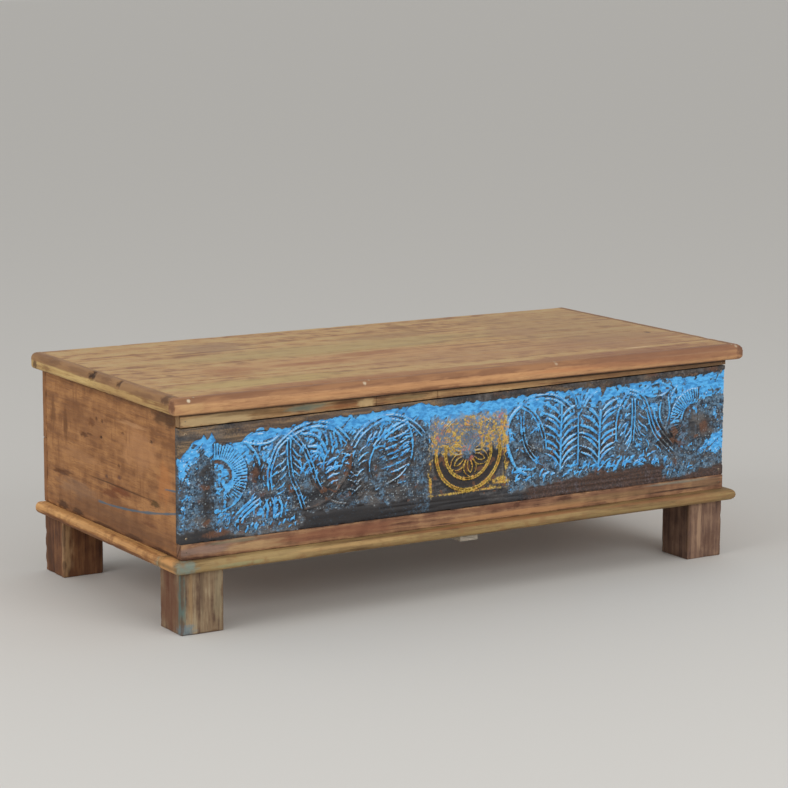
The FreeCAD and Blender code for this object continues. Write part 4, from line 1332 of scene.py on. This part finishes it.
# %% Edges of the plain borders
brim_points = [
    (-573, 300), (-545, 326), (-528, 336), (-521, 326), (-513, 339), (-505, 322), (-496, 316), (-458, 318),
    (-446, 330), (-425, 337), (-380, 333), (-340, 339), (-300, 341), (-230, 342), (-170, 345), (-100, 349),
    (-60, 343), (0, 344), (80, 344), (200, 348), (206, 342), (214, 348), (284, 345), (290, 331), (298, 344),
    (350, 346), (450, 351), (478, 346), (573, 354),
]
brim_x, brim_z = zip(*brim_points)
brim = np.interp(grid_x, brim_x, brim_z) + 9 * uneven(10, 5)
foot_points = [
    (-573, 174), (-520, 178), (-480, 168), (-440, 156), (-350, 154), (-336, 184), (-90, 184), (90, 176),
    (200, 184), (300, 190), (426, 193), (436, 162), (500, 166), (573, 180),
]
foot_x, foot_z = zip(*foot_points)
foot = np.interp(grid_x + 26 * uneven(9, 55), foot_x, foot_z) + 14 * uneven(12, 7)
above_brim = ramp(grid_z - brim, -1, 3)
below_foot = fall(grid_z - foot, -2, 2)
carved_field = (1 - above_brim) * (1 - below_foot)
print("plain borders take", round(100 * float((carved_field < 0.5).mean())), "percent of the board")


# %% Worn crests, punched ground and scratches
def blurred(values, size):
    """A soft copy of the grid, averaged over a few points each way."""
    kernel = np.ones(2 * size + 1) / (2 * size + 1)
    for axis in (0, 1):
        values = np.apply_along_axis(
            lambda line: np.convolve(np.pad(line, size, "edge"), kernel, "valid"), axis, values)
    return values


dot_pitch = 3.7
dot_rise = 1.3
deepest_hollow = 1.3
worn_end_x = 508
crest_wear = 0.45 + 0.4 * ramp(patchy(30, 8), 0.3, 0.62) + 0.3 * (patchy(8, 10) - 0.25)
relief *= crest_wear * (1 - 0.7 * ramp(-grid_x, worn_end_x, worn_end_x + 8))
carving = relief.copy()
open_ground = fall(carving, 0.4, 1.2) * fall(grid_z, 312, 328) * ramp(medallion_away, 72, 76)
dots, dot_luck = punched(dot_pitch, 9)
relief = relief + dot_rise * dots * open_ground + 0.5 * patchy(12, 2)
scratch = ramp(lumps(3.4, 11, 40), 0.5, 0.85) * ramp(grid_x, -350, -320)
relief = relief * (1 - below_foot) + (3.2 - 1.3 * scratch - 0.6 * patchy(6, 12, 9)) * below_foot
relief = relief * (1 - above_brim) + (3.5 - 1.2 * patchy(7, 13, 4)) * above_brim
to_edge = np.minimum(np.minimum(grid_x - panel_low.x, panel_high.x - grid_x),
                     np.minimum(grid_z - panel_low.z, grid_top - grid_z + 3))
relief -= (0.5 + 1.6 * ramp(patchy(12, 14), 0.5, 0.8)) * np.exp(-to_edge / 1.4)
relief = np.clip(relief, -1.5, carve_depth)
# hollow marks the recesses beside the carving, and facing_up and facing_down mark flanks that face up or
# down; the masks below use them partly for paint wear and partly to paint shade and highlights.
hollow = np.clip(blurred(carving, 3) - carving, 0, deepest_hollow) / deepest_hollow
row_step = float(grid_z[1, 0] - grid_z[0, 0])
steep = np.gradient(carving, axis=0) / row_step
facing_up = np.clip(-steep, 0, 1)
facing_down = np.clip(steep, 0, 1)
print("relief from", round(relief.min(), 2), "to", round(relief.max(), 2), "mm")

# %% [markdown]
# ## Where the paint is left
# Blue paint lies thick along the top, clings to the crests elsewhere and is gone from the foot and from the
# medallion, which has ochre lines and a few red flecks. Each colour is a number at every point of the grid,
# and the material breaks its edge up with finer noise. Spots raise or lower a number where the photograph
# shows more or less of a colour.


# %% Parts of the board that the masks share
def spot(x, z, reach_x, reach_z):
    """A soft mask round a place on the board."""
    return np.exp(-((grid_x - x) / reach_x) ** 2 - ((grid_z - z) / reach_z) ** 2)


def spots(rows):
    """Soft spots added up: each row has a strength, a place in x and z, and a reach in x and z."""
    return sum(strength * spot(*place) for strength, *place in rows)


crest = np.clip(carving / 3.0, 0, 1)
on_crest = ramp(crest, 0.15, 0.55)
disc = fall(medallion_away, 71, 78)
astray = 34 * uneven(11, 51)
in_frame = ramp(grid_x + 0.5 * astray, frame_left - 8, frame_left + 4)
in_frame *= fall(grid_x + 0.5 * astray, frame_right - 2, frame_right + 10)
in_foot = in_frame * fall(grid_z, 232, 258)
below_band = fall(grid_z + 0.6 * astray, 314, 332)
upper = in_frame * ramp(grid_z + astray, 242, 274) * below_band
rosette_z = (left_rosette[1] + right_rosette[1]) / 2
rosette_away = np.hypot(np.abs(grid_x) - right_rosette[0], grid_z - rosette_z)
in_rosette = ramp(rosette_rim - rosette_away, -2, 4) * (np.abs(grid_x) < 511)
flute_gaps = in_rosette * ramp(rosette_away, flute_foot, flute_foot + 3) * fall(carving, 0.6, 1.5)
left_away, left_angle = polar(*left_rosette)
crescent = rim(left_away, crescent_radius, crescent_width, 1) * ramp(left_angle, -0.3, 0.1)
crescent *= ramp(grid_x, -512, -506)
print("the medallion's frame takes", round(100 * float(in_frame.mean())), "percent of the board")

# %% The mask of the blue coat
coat_spots = [
    (0.7, -470, 282, 32, 42), (0.2, -486, 222, 24, 34), (0.35, 474, 300, 34, 34), (0.17, -430, 195, 90, 34),
    (0.36, -566, 235, 16, 60), (0.3, 540, 330, 40, 26), (0.7, 552, 224, 34, 26), (0.4, -440, 322, 54, 14),
    (0.5, 84, 262, 7, 56), (0.4, -412, 250, 11, 46), (0.35, -494, 186, 12, 26), (0.3, -388, 196, 28, 20),
    (0.5, -566, 296, 10, 12), (0.4, -566, 274, 8, 7), (0.35, -446, 202, 20, 13), (0.45, -312, 286, 16, 14),
    (0.3, -312, 235, 8, 24), (0.3, -276, 258, 18, 18), (0.5, -511, 306, 9, 20), (0.5, -556, 304, 15, 9),
    (0.5, -519, 322, 9, 14), (0.4, -537, 322, 8, 12),
    (-0.6, -524, 236, 13, 60), (-0.9, -430, 264, 11, 16), (-0.9, -418, 225, 11, 8), (-0.9, 495, 266, 19, 26),
    (-0.9, 448, 240, 22, 20), (-0.9, 526, 252, 18, 22), (-0.6, 433, 282, 7, 24), (-0.3, -190, 212, 110, 26),
    (-0.2, -290, 215, 50, 34), (-0.6, -104, 240, 12, 60), (-0.3, 134, 262, 16, 22), (-0.6, 146, 256, 9, 8),
    (-0.9, 556, 302, 26, 7),
]
ragged = (0.75 * uneven(11, 21) + 0.25 * (lumps(3.6, 22, 1.0, 0.9) - 0.5)) * (1 - 0.25 * on_crest)
# The coat is thinner in the hollows beside the carving, partly paint worn away and partly painted shade along
# every line. Upward-facing flanks get more blue as a painted highlight, downward-facing flanks less as
# painted shade.
coat = 0.12 + 0.5 * on_crest - 0.7 * hollow + ragged - 0.5 * flute_gaps + spots(coat_spots)
coat += 0.25 * facing_up - 0.3 * facing_down
coat += 0.36 * ramp(grid_z, 230, 325) + 0.52 * ramp(grid_z, 308, 338) + 0.06 * ramp(grid_x, 70, 110)
coat -= 0.7 * ramp(lumps(2.8, 26, 5.0, 0.7), 0.74, 0.88) * ramp(patchy(24, 27), 0.4, 0.6)
coat += 0.2 * ramp(grid_x, 80, 110) * fall(grid_x, 430, 460) * np.exp(-((grid_z - 204) / 12) ** 2)
coat -= 0.7 * in_rosette * fall(rosette_away, 26, 32) * ramp(patchy(5, 56), 0.42, 0.6)
coat -= 0.35 * in_rosette * ramp(patchy(10, 57), 0.52, 0.68)
coat -= 0.6 * in_rosette * fall(grid_z, 214, 250) * ramp(patchy(6, 53), 0.3, 0.6)
coat -= 0.9 * bare_wood * below_band
coat -= 0.75 * ramp(grid_x, 90, 200) * ramp(grid_z, 298, 314) * ramp(patchy(8, 58), 0.52, 0.66)
coat -= (0.7 * disc + 0.4 * in_frame) * fall(grid_z + 0.6 * astray, 302, 320)
coat += upper * (0.3 + 1.4 * uneven(7, 24))
coat *= (1 - 0.9 * below_foot) * (1 - above_brim)
coat -= 0.3 * in_foot + crescent
print("paint covers about", round(100 * float((coat > 0.5).mean())), "percent")

# %% The mask of the thin blue haze
haze_spots = [
    (0.3, -556, 225, 16, 60), (0.25, -500, 240, 70, 70), (-0.6, -524, 234, 12, 60),
    (-0.25, -190, 212, 120, 40), (-0.4, 497, 262, 12, 18), (-0.5, 448, 240, 24, 22),
    (-0.6, 526, 252, 20, 24), (-0.5, -430, 262, 14, 24),
]
haze = 0.5 + 0.15 * ramp(grid_x, 60, 120) + 1.1 * uneven(16, 23) + 0.3 * ramp(grid_z, 280, 325)
# Less haze in the hollows beside the carving adds to the painted shade there.
haze += spots(haze_spots) - 0.7 * bare_wood - 0.4 * hollow
haze *= (1 - 0.8 * below_foot) * (1 - 0.85 * above_brim) * (1 - disc)
haze += 0.35 * below_foot * spot(-85, 172, 30, 16) + 0.7 * disc * fall(medallion_away, 12, 20)
haze += upper * (0.55 + 1.2 * uneven(9, 25)) - 0.6 * in_foot
print("haze covers about", round(100 * float((haze > 0.45).mean())), "percent")

# %% The masks of ochre and rose on the medallion
ochre_spots = [
    (0.3, -24, 274, 10, 26), (-0.7, 2, 278, 20, 15), (0.7, -34, 184.5, 46, 2.6), (0.6, -80, 200, 3, 18),
    (0.5, 40, 185.5, 36, 2.2),
]
ring_width = 2.6
outer_ring = np.exp(-((medallion_away - 67.5) / ring_width) ** 2)
inner_ring = np.exp(-((medallion_away - 48) / ring_width) ** 2)
ochre = 0.72 * disc * ramp(lotus, 0.7, 2.2) * fall(grid_z, 258, 284) * ramp(medallion_away, 10, 18)
ochre += 0.24 * (outer_ring + 0.6 * inner_ring) * fall(grid_z, 252, 276) + spots(ochre_spots)
ochre += upper * (0.38 + 0.9 * uneven(8, 31) + 0.9 * (lumps(3.0, 36, 1.0, 0.3) - 0.5))
ochre += spot(78, 250, 9, 62) * (0.46 + 1.6 * uneven(16, 32, 0.3))
ochre += spot(-84, 232, 6, 44) * (0.5 + 1.6 * uneven(16, 34, 0.3))
ochre += spot(58, 196, 28, 14) * (0.36 + 1.7 * uneven(7, 35, 2))
ochre *= below_band
rose = spots([(0.5, -66, 294, 6, 12), (0.3, 2, 246, 6, 7), (0.5, -3, 228, 4, 6), (0.6, 66, 314, 5, 12)])
rose += 0.5 * upper * ramp(patchy(5, 33), 0.56, 0.66)
rose += 0.4 * disc * fall(medallion_away, 14, 22) * ramp(patchy(5, 37), 0.54, 0.64)
rose *= below_band
print("ochre covers about", round(100 * float((ochre > 0.5).mean()), 1), "percent")

# %% The masks of bare wood, soot with painted shade, and painted highlights
bare_spots = [
    (0.9, -430, 264, 10, 14), (0.9, -418, 225, 11, 8), (0.8, 146, 256, 9, 8), (0.9, 526, 252, 16, 20),
    (0.45, 448, 240, 22, 20), (0.5, -330, 226, 16, 8), (0.9, -564, 286, 8, 6), (0.7, -500, 170, 30, 8),
]
right_part = ramp(grid_x, 60, 140)
left_brim = 0.25 + 0.45 * ramp(-grid_x, 90, 200) * ramp(grid_x, -500, -440)
bare = carved_field * ramp(patchy(13, 41), 0.64, 0.76) + 0.75 * bare_wood + spots(bare_spots)
bare += 0.5 * disc * fall(grid_z, 240, 262)
bare += above_brim * (left_brim * fall(grid_x, 0, 60) + 0.9 * ramp(grid_x, 0, 60) * patchy(12, 59, 3))
bare += below_foot * (0.64 * right_part + 0.5 * spot(-520, 165, 40, 8))
bare = np.maximum(bare, crescent)
soot = spots([(0.5, 448, 238, 22, 18), (0.75, -523, 236, 12, 58)])
soot += below_foot * fall(grid_x, -60, 110) * ramp(grid_x, -350, -330)
soot += below_foot * (0.6 * fall(grid_z, 158, 163) + 0.7 * fall(grid_x, -500, -440) + 0.75 * right_part)
soot += (1 - upper) * (0.3 * in_frame + 0.7 * disc) * fall(grid_z, 246, 270)
soot += above_brim * ramp(grid_x, -60, 40) * (0.1 + 0.85 * patchy(8, 52, 0.6))
# Painted shade: darker in the hollows beside the carving, on downward-facing flanks and in the gaps between
# the flutes.
soot += 1.1 * hollow + 0.3 * facing_down + 0.5 * flute_gaps
# Painted highlights: pale on the upward-facing flanks of the crests and on a few punched dots.
glint = ramp(crest, 0.35, 0.75) * ramp(facing_up, 0.1, 0.6) * (1 - 0.6 * in_rosette)
glint += dots * open_ground * ramp(dot_luck, 0.72, 0.9)
glint *= carved_field * (1 - 0.5 * in_foot)
brim_wood = above_brim * (1 - 0.45 * ramp(grid_x, -110, 10)) * (0.75 + 1.2 * uneven(16, 54, 3))
panel_marks = {
    "coat": coat, "brim": brim_wood, "haze": haze, "ochre": ochre, "rose": rose, "bare": bare, "soot": soot,
    "crest": crest, "glint": glint, "faded": upper,
}
print("bare wood shows on about", round(100 * float((bare > 0.6).mean())), "percent")

# %% [markdown]
# ## Closing the carved board
# The carved face is joined to a plain back by a skirt, so that the board is one closed solid with its real
# thickness and its end shows at the corner of the trunk.


# %% The carved board's mesh
def carved_shell():
    """Points and faces of the carved board: a carved face, a skirt round it and a plain back."""
    face_y = panel_low.y + carve_depth - relief
    points = list(zip(grid_x.ravel(), face_y.ravel(), grid_z.ravel()))
    index = np.arange(rows * columns).reshape(rows, columns)
    quads = np.stack((index[:-1, :-1], index[:-1, 1:], index[1:, 1:], index[1:, :-1]), -1).reshape(-1, 4)
    faces = quads.tolist()
    border = np.concatenate((index[0, :], index[1:, -1], index[-1, -2::-1], index[-2:0:-1, 0]))
    start = len(points)
    points += [(points[i][0], panel_high.y, points[i][2]) for i in border]
    count = len(border)
    for i in range(count):
        j = (i + 1) % count
        faces.append((int(border[j]), int(border[i]), start + i, start + j))
    faces.append(tuple(start + i for i in reversed(range(count))))
    marks = {}
    for label, values in panel_marks.items():
        flat = values.ravel()
        marks[label] = np.concatenate((flat, 0.4 * flat[border])).astype(np.float32)
    return points, faces, marks


carved_board_shell = carved_shell()
print("the carved board's mesh has", len(carved_board_shell[0]), "points")

# %% [markdown]
# ## The finish of the carved board
# Old dark wood shows in the ground, with orange flecks where it was knocked. Over it lies a thin chalky blue:
# deep where it is thin, with a painted highlight on the crests. Fine noise decides at every spot whether the
# coat still holds. Painted shade darkens the hollows beside the carving, and painted highlights sit on the
# upward-facing flanks and a few punched dots.

# %% Painted finish: noises, old wood and thin blue
painted = Finish("carved_blue_coat")
grain = painted.group(old_wood_grain, {
    "Place": painted.place, "Stretch": (0.009, 0.12, 0.12), "Pale": (96, 92, 90), "Mid": (62, 61, 63),
    "Dark": (33, 33, 37), "Pores": 1.0, "Mottle": 0.6})
speck = painted.noise(painted.place, 0.3, 4.0)
cloud = painted.noise(painted.place, 0.11, 6.0)
cloud = painted.plus(painted.times(cloud, 0.6), painted.times(speck, 0.4))
grit = painted.noise(painted.place, 0.5, 3.0)
scuff = painted.noise(painted.stretched(painted.place, (0.1, 0.1, 0.22)), 1.0, 5.0)
streak = painted.noise(painted.stretched(painted.place, (0.022, 0.1, 0.26)), 1.0, 6.0)
loose = painted.minus(speck, 0.5)


def held(label, low, high, break_up, most=1.0):
    """A mask from a number on the points, broken up by fine specks."""
    torn = painted.times(loose, break_up)
    return painted.span(painted.plus(painted.attribute(label), torn), low, high, 0.0, most)


# Soot and painted shade: dark where the board is sooty, and darker still in the hollows and under the flanks
# as painted shade.
shade = painted.mix(held("soot", 0.2, 0.8, 0.5, 0.9), grain["Colour"], (32, 28, 29))
shade = painted.mix(held("bare", 0.45, 0.85, 0.6, 0.75), shade, (108, 70, 46))
old_tan = painted.mix(painted.span(streak, 0.38, 0.62), (84, 68, 52), (146, 118, 84))
shade = painted.mix(held("brim", 0.2, 0.9, 0.9, 0.85), shade, old_tan)
thin_blue = painted.mix(painted.span(cloud, 0.42, 0.58), (30, 42, 56), (98, 136, 166))
shade = painted.mix(held("haze", 0.1, 0.8, 0.8, 0.85), shade, thin_blue)
grit_mask = painted.span(grit, 0.5, 0.62, 0.0, 0.4)
ground_shade = painted.mix(grit_mask, shade, (24, 32, 42))
print("ground of the carved board:", len(painted.tree.nodes), "nodes")

# %% Painted finish: blue coat, ochre and painted highlights
blue = painted.mix(painted.span(scuff, 0.36, 0.6), (54, 140, 206), (90, 184, 246))
# Painted highlight: the coat is paler on the highest crests.
painted_crest_highlight = painted.span(painted.attribute("crest"), 0.6, 1.0, 0.0, 0.3)
blue = painted.mix(painted_crest_highlight, blue, (122, 200, 244))
blue = painted.mix(painted.times(grit_mask, 0.5), blue, (24, 92, 164))
coat_mask = held("coat", 0.42, 0.58, 0.6)
shade = painted.mix(coat_mask, ground_shade, blue)
faded_tone = painted.mix(painted.span(grit, 0.43, 0.57), (84, 122, 164), (150, 134, 104))
shade = painted.mix(held("faded", 0.2, 0.9, 0.6, 0.7), shade, faded_tone)
ochre_tone = painted.mix(painted.span(speck, 0.42, 0.6), (164, 130, 46), (218, 186, 82))
ochre_tone = painted.mix(painted.span(cloud, 0.5, 0.6, 0.0, 0.55), ochre_tone, (204, 124, 54))
shade = painted.mix(held("ochre", 0.26, 0.7, 0.7, 0.9), shade, ochre_tone)
shade = painted.mix(held("rose", 0.35, 0.8, 0.9, 0.65), shade, (204, 112, 94))
# Painted highlights: whitish on the coat and grey on the bare ground.
glint_tone = painted.mix(coat_mask, (156, 170, 178), (208, 228, 240))
painted.paint(painted.mix(held("glint", 0.3, 0.8, 0.8, 0.7), shade, glint_tone))
painted.set("Roughness", painted.span(coat_mask, 0.0, 1.0, 0.55, 0.36))
painted.set("Specular IOR Level", 0.4)
painted.bump(painted.plus(painted.times(coat_mask, 0.5), painted.times(speck, 0.6)), 0.4, 1.0 * MM)
carved = piece("carved_board", carved_board_shell, painted, [panel], smooth_angle=60)
print("carved board:", len(carved.data.polygons), "faces")

# %% [markdown]
# ## Iron hinges and stays
# Two butt hinges at the back and a folding stay at each end are plain forged iron. Their construction shapes
# are right, so each keeps its form and only gets softened edges from a bevel, which gives iron its glint.
# A hair of slack keeps the facets of round pivots from grazing each other when the lid moves.

# %% Forged iron
iron = Finish("forged_iron")
hammer = iron.noise(iron.place, 0.16, 3.0)
scale_skin = iron.noise(iron.place, 0.7, 5.0)
rusted = iron.span(iron.noise(iron.place, 0.09, 6.0, 0.6), 0.52, 0.68)
shade = iron.mix(iron.span(scale_skin, 0.35, 0.65), (50, 48, 47), (82, 79, 76))
iron.paint(iron.mix(iron.times(rusted, 0.7), shade, (112, 66, 42)))
iron.set("Metallic", iron.span(rusted, 0.0, 1.0, 0.85, 0.1))
iron.set("Roughness", iron.span(scale_skin, 0.3, 0.7, 0.42, 0.68))
iron.bump(hammer, 0.4, 1.2 * MM)
print("iron finish:", len(iron.tree.nodes), "nodes")

# %% Hinges and stays with softened edges
soft_edge = 0.4
working_slack = 0.04
rivet_slack = 0.16
weld_distance = 1e-6
flat_angle = math.radians(3)
sharp_angle = math.radians(40)


def softened(node, slack):
    """A copy of a construction node with softened edges, a hair smaller so that it moves freely."""
    mesh = bpy.data.meshes.new("forged_" + node)
    form = bmesh.new()
    form.from_mesh(nodes[node].data)
    bmesh.ops.remove_doubles(form, verts=form.verts, dist=weld_distance)
    form.normal_update()
    for vertex in form.verts:
        vertex.co -= vertex.normal * slack * MM
    bmesh.ops.dissolve_limit(form, angle_limit=flat_angle, verts=form.verts, edges=form.edges)
    form.to_mesh(mesh)
    form.free()
    mesh.materials.clear()
    mesh.materials.append(iron.material)
    mesh.shade_smooth()
    mesh.set_sharp_from_angle(angle=sharp_angle)
    made = bpy.data.objects.new("forged_" + node, mesh)
    scene.collection.objects.link(made)
    bevel = made.modifiers.new("soft_edges", "BEVEL")
    bevel.width = soft_edge * MM
    bevel.segments = 2
    bevel.limit_method = "ANGLE"
    bevel.angle_limit = sharp_angle
    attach(made, nodes[node]["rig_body"])
    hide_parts(node)


iron_nodes = sorted(node for node, slot in slots.items() if slot == "forged_iron")
for node in iron_nodes:
    softened(node, rivet_slack if "rivet" in node else working_slack)
print("iron pieces:", len(iron_nodes))

# %% [markdown]
# ## Nails
# The boards are held by hand-made nails. Their places come from the construction nodes: each nail is a
# separate solid there, so its box gives its middle, its length and the way it points. One Geometry Nodes
# tree puts a shank and a faceted head on every point, with a small seeded twist, because no smith sets two
# heads alike.


# %% Nail places from the construction nodes
def solids(node):
    """Low and high corners, in millimetres, of each separate solid in a node."""
    mesh = nodes[node].data
    places = np.array([vertex.co for vertex in mesh.vertices]) / MM
    kinds, owner = np.unique(places.round(3), axis=0, return_inverse=True)
    owner = owner.ravel()
    chief = list(range(len(kinds)))

    def head(i):
        while chief[i] != i:
            i = chief[i]
        return i

    for polygon in mesh.polygons:
        roots = [head(owner[v]) for v in polygon.vertices]
        for other in roots[1:]:
            chief[head(other)] = head(roots[0])
    clusters = {}
    for i in range(len(kinds)):
        clusters.setdefault(head(i), []).append(kinds[i])
    return [(np.min(points, 0), np.max(points, 0)) for points in clusters.values()]


def nail_point(low, high, top_heads):
    """The head's place, the way out of the wood and the length of one nail."""
    size = high - low
    axis = int(np.argmax(size))
    middle = (low + high) / 2
    sign = {0: -np.sign(middle[0]), 1: np.sign(middle[1]), 2: 1.0 if top_heads else -1.0}[axis]
    out = np.zeros(3)
    out[axis] = sign
    tip = middle.copy()
    tip[axis] = high[axis] if sign > 0 else low[axis]
    return tip, out, size[axis]


nail_groups = [node for node, slot in slots.items() if slot == "nail_iron"]
print("nail groups:", {node: len(solids(node)) for node in nail_groups})

# %% Nail finish
nail_iron = Finish("dull_nail_iron")
tarnish = nail_iron.noise(nail_iron.place, 0.9, 4.0)
nail_iron.paint(nail_iron.mix(nail_iron.span(tarnish, 0.4, 0.6), (122, 106, 90), (206, 186, 158)))
nail_iron.set("Metallic", nail_iron.span(tarnish, 0.4, 0.6, 0.2, 0.75))
nail_iron.set("Roughness", nail_iron.span(tarnish, 0.4, 0.6, 0.7, 0.4))
print("nail finish:", len(nail_iron.tree.nodes), "nodes")


# %% A Geometry Nodes tree for nails
def nail_tree(material):
    """A tree that sets a shank and a faceted head on every point."""
    tree = bpy.data.node_groups.new("set_nails", "GeometryNodeTree")
    tree.is_modifier = True
    for label, kind in (("Geometry", "NodeSocketGeometry"), ("Head Width", "NodeSocketFloat"),
                        ("Head Height", "NodeSocketFloat"), ("Shank Width", "NodeSocketFloat"),
                        ("Seed", "NodeSocketInt")):
        tree.interface.new_socket(label, in_out="INPUT", socket_type=kind)
    tree.interface.new_socket("Geometry", in_out="OUTPUT", socket_type="NodeSocketGeometry")
    build = Recipe(tree)
    entry = tree.nodes.new("NodeGroupInput").outputs
    half_head = build.times(entry["Head Width"], 0.5)
    half_shank = build.times(entry["Shank Width"], 0.5)
    top = build.times(half_head, 0.45)
    cone = build.add("GeometryNodeMeshCone", {
        "Vertices": 8, "Radius Top": top, "Radius Bottom": half_head, "Depth": entry["Head Height"]})
    down = build.times(entry["Head Height"], -1.0)
    drop = build.add("ShaderNodeCombineXYZ", {"Z": down}).outputs[0]
    head = build.add("GeometryNodeTransform", {"Geometry": cone.outputs["Mesh"], "Translation": drop})
    shank = build.add("GeometryNodeMeshCone", {
        "Vertices": 4, "Radius Top": half_shank, "Radius Bottom": build.times(half_shank, 0.5),
        "Depth": 1.0})
    sunk = build.add("GeometryNodeTransform", {
        "Geometry": shank.outputs["Mesh"], "Translation": (0, 0, -1)})
    points = build.add("GeometryNodeMeshToPoints", {"Mesh": entry["Geometry"]}).outputs[0]
    way = build.add("GeometryNodeInputNamedAttribute", {"Name": "way"}, data_type="FLOAT_VECTOR").outputs[0]
    length = build.add("GeometryNodeInputNamedAttribute", {"Name": "length"}, data_type="FLOAT").outputs[0]
    aim = build.add("FunctionNodeAlignRotationToVector", {"Vector": way}, axis="Z").outputs[0]
    spin = build.add("FunctionNodeRandomValue", {"Max": math.pi, "Seed": entry["Seed"]}, data_type="FLOAT")
    spin_value = next(s for s in spin.outputs if s.enabled)
    twist = build.add("ShaderNodeCombineXYZ", {"Z": spin_value}).outputs[0]
    turned = build.add("FunctionNodeRotateRotation", {"Rotation": aim, "Rotate By": twist},
                       rotation_space="LOCAL").outputs[0]
    long = build.add("ShaderNodeCombineXYZ", {"X": 1.0, "Y": 1.0, "Z": length}).outputs[0]
    heads = build.add("GeometryNodeInstanceOnPoints", {
        "Points": points, "Instance": head.outputs[0], "Rotation": turned}).outputs[0]
    shanks = build.add("GeometryNodeInstanceOnPoints", {
        "Points": points, "Instance": sunk.outputs[0], "Rotation": aim, "Scale": long}).outputs[0]
    both = tree.nodes.new("GeometryNodeJoinGeometry")
    tree.links.new(heads, both.inputs[0])
    tree.links.new(shanks, both.inputs[0])
    real = build.add("GeometryNodeRealizeInstances", {"Geometry": both.outputs[0]})
    finished = build.add("GeometryNodeSetMaterial", {"Geometry": real.outputs[0], "Material": material})
    leave = tree.nodes.new("NodeGroupOutput")
    tree.links.new(finished.outputs[0], leave.inputs[0])
    return tree


set_nails = nail_tree(nail_iron.material)
print("nail tree:", len(set_nails.nodes), "nodes")

# %% Setting the nails
sockets = {item.name: item.identifier for item in set_nails.interface.items_tree if item.in_out == "INPUT"}
nail_sizes = {
    "carcass_nails": (4.2, 0.8, 2.8), "lid_nails": (5.2, 0.8, 2.8), "lid_batten_nails": (5.0, 0.8, 2.8),
    "body_hardware_nails": (6.0, 1.4, 2.8), "lid_hardware_nails": (6.0, 1.4, 2.8),
}


def nails(node, seed):
    """All the nails of one group, set by the tree and turned into one plain mesh."""
    head_width, head_height, shank_width = nail_sizes[node]
    rows = [nail_point(low, high, node == "lid_nails") for low, high in solids(node)]
    mesh = bpy.data.meshes.new("places_" + node)
    mesh.from_pydata([tuple(tip * MM) for tip, out, length in rows], [], [])
    ways = mesh.attributes.new("way", "FLOAT_VECTOR", "POINT")
    ways.data.foreach_set("vector", np.concatenate([out for tip, out, length in rows]))
    lengths = mesh.attributes.new("length", "FLOAT", "POINT")
    lengths.data.foreach_set("value", [length * MM for tip, out, length in rows])
    source = bpy.data.objects.new("places_" + node, mesh)
    scene.collection.objects.link(source)
    modifier = source.modifiers.new("nails", "NODES")
    modifier.node_group = set_nails
    modifier[sockets["Head Width"]] = head_width * MM
    modifier[sockets["Head Height"]] = head_height * MM
    modifier[sockets["Shank Width"]] = shank_width * MM
    modifier[sockets["Seed"]] = seed
    evaluated = source.evaluated_get(bpy.context.evaluated_depsgraph_get())
    solid = bpy.data.meshes.new_from_object(evaluated)
    bpy.data.objects.remove(source)
    solid.name = "forged_" + node
    solid.shade_flat()
    made = bpy.data.objects.new("forged_" + node, solid)
    scene.collection.objects.link(made)
    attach(made, nodes[node]["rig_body"])
    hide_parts(node)
    return len(rows)


for seed, node in enumerate(nail_groups):
    print(node, "holds", nails(node, 80 + seed), "nails")

# %% [markdown]
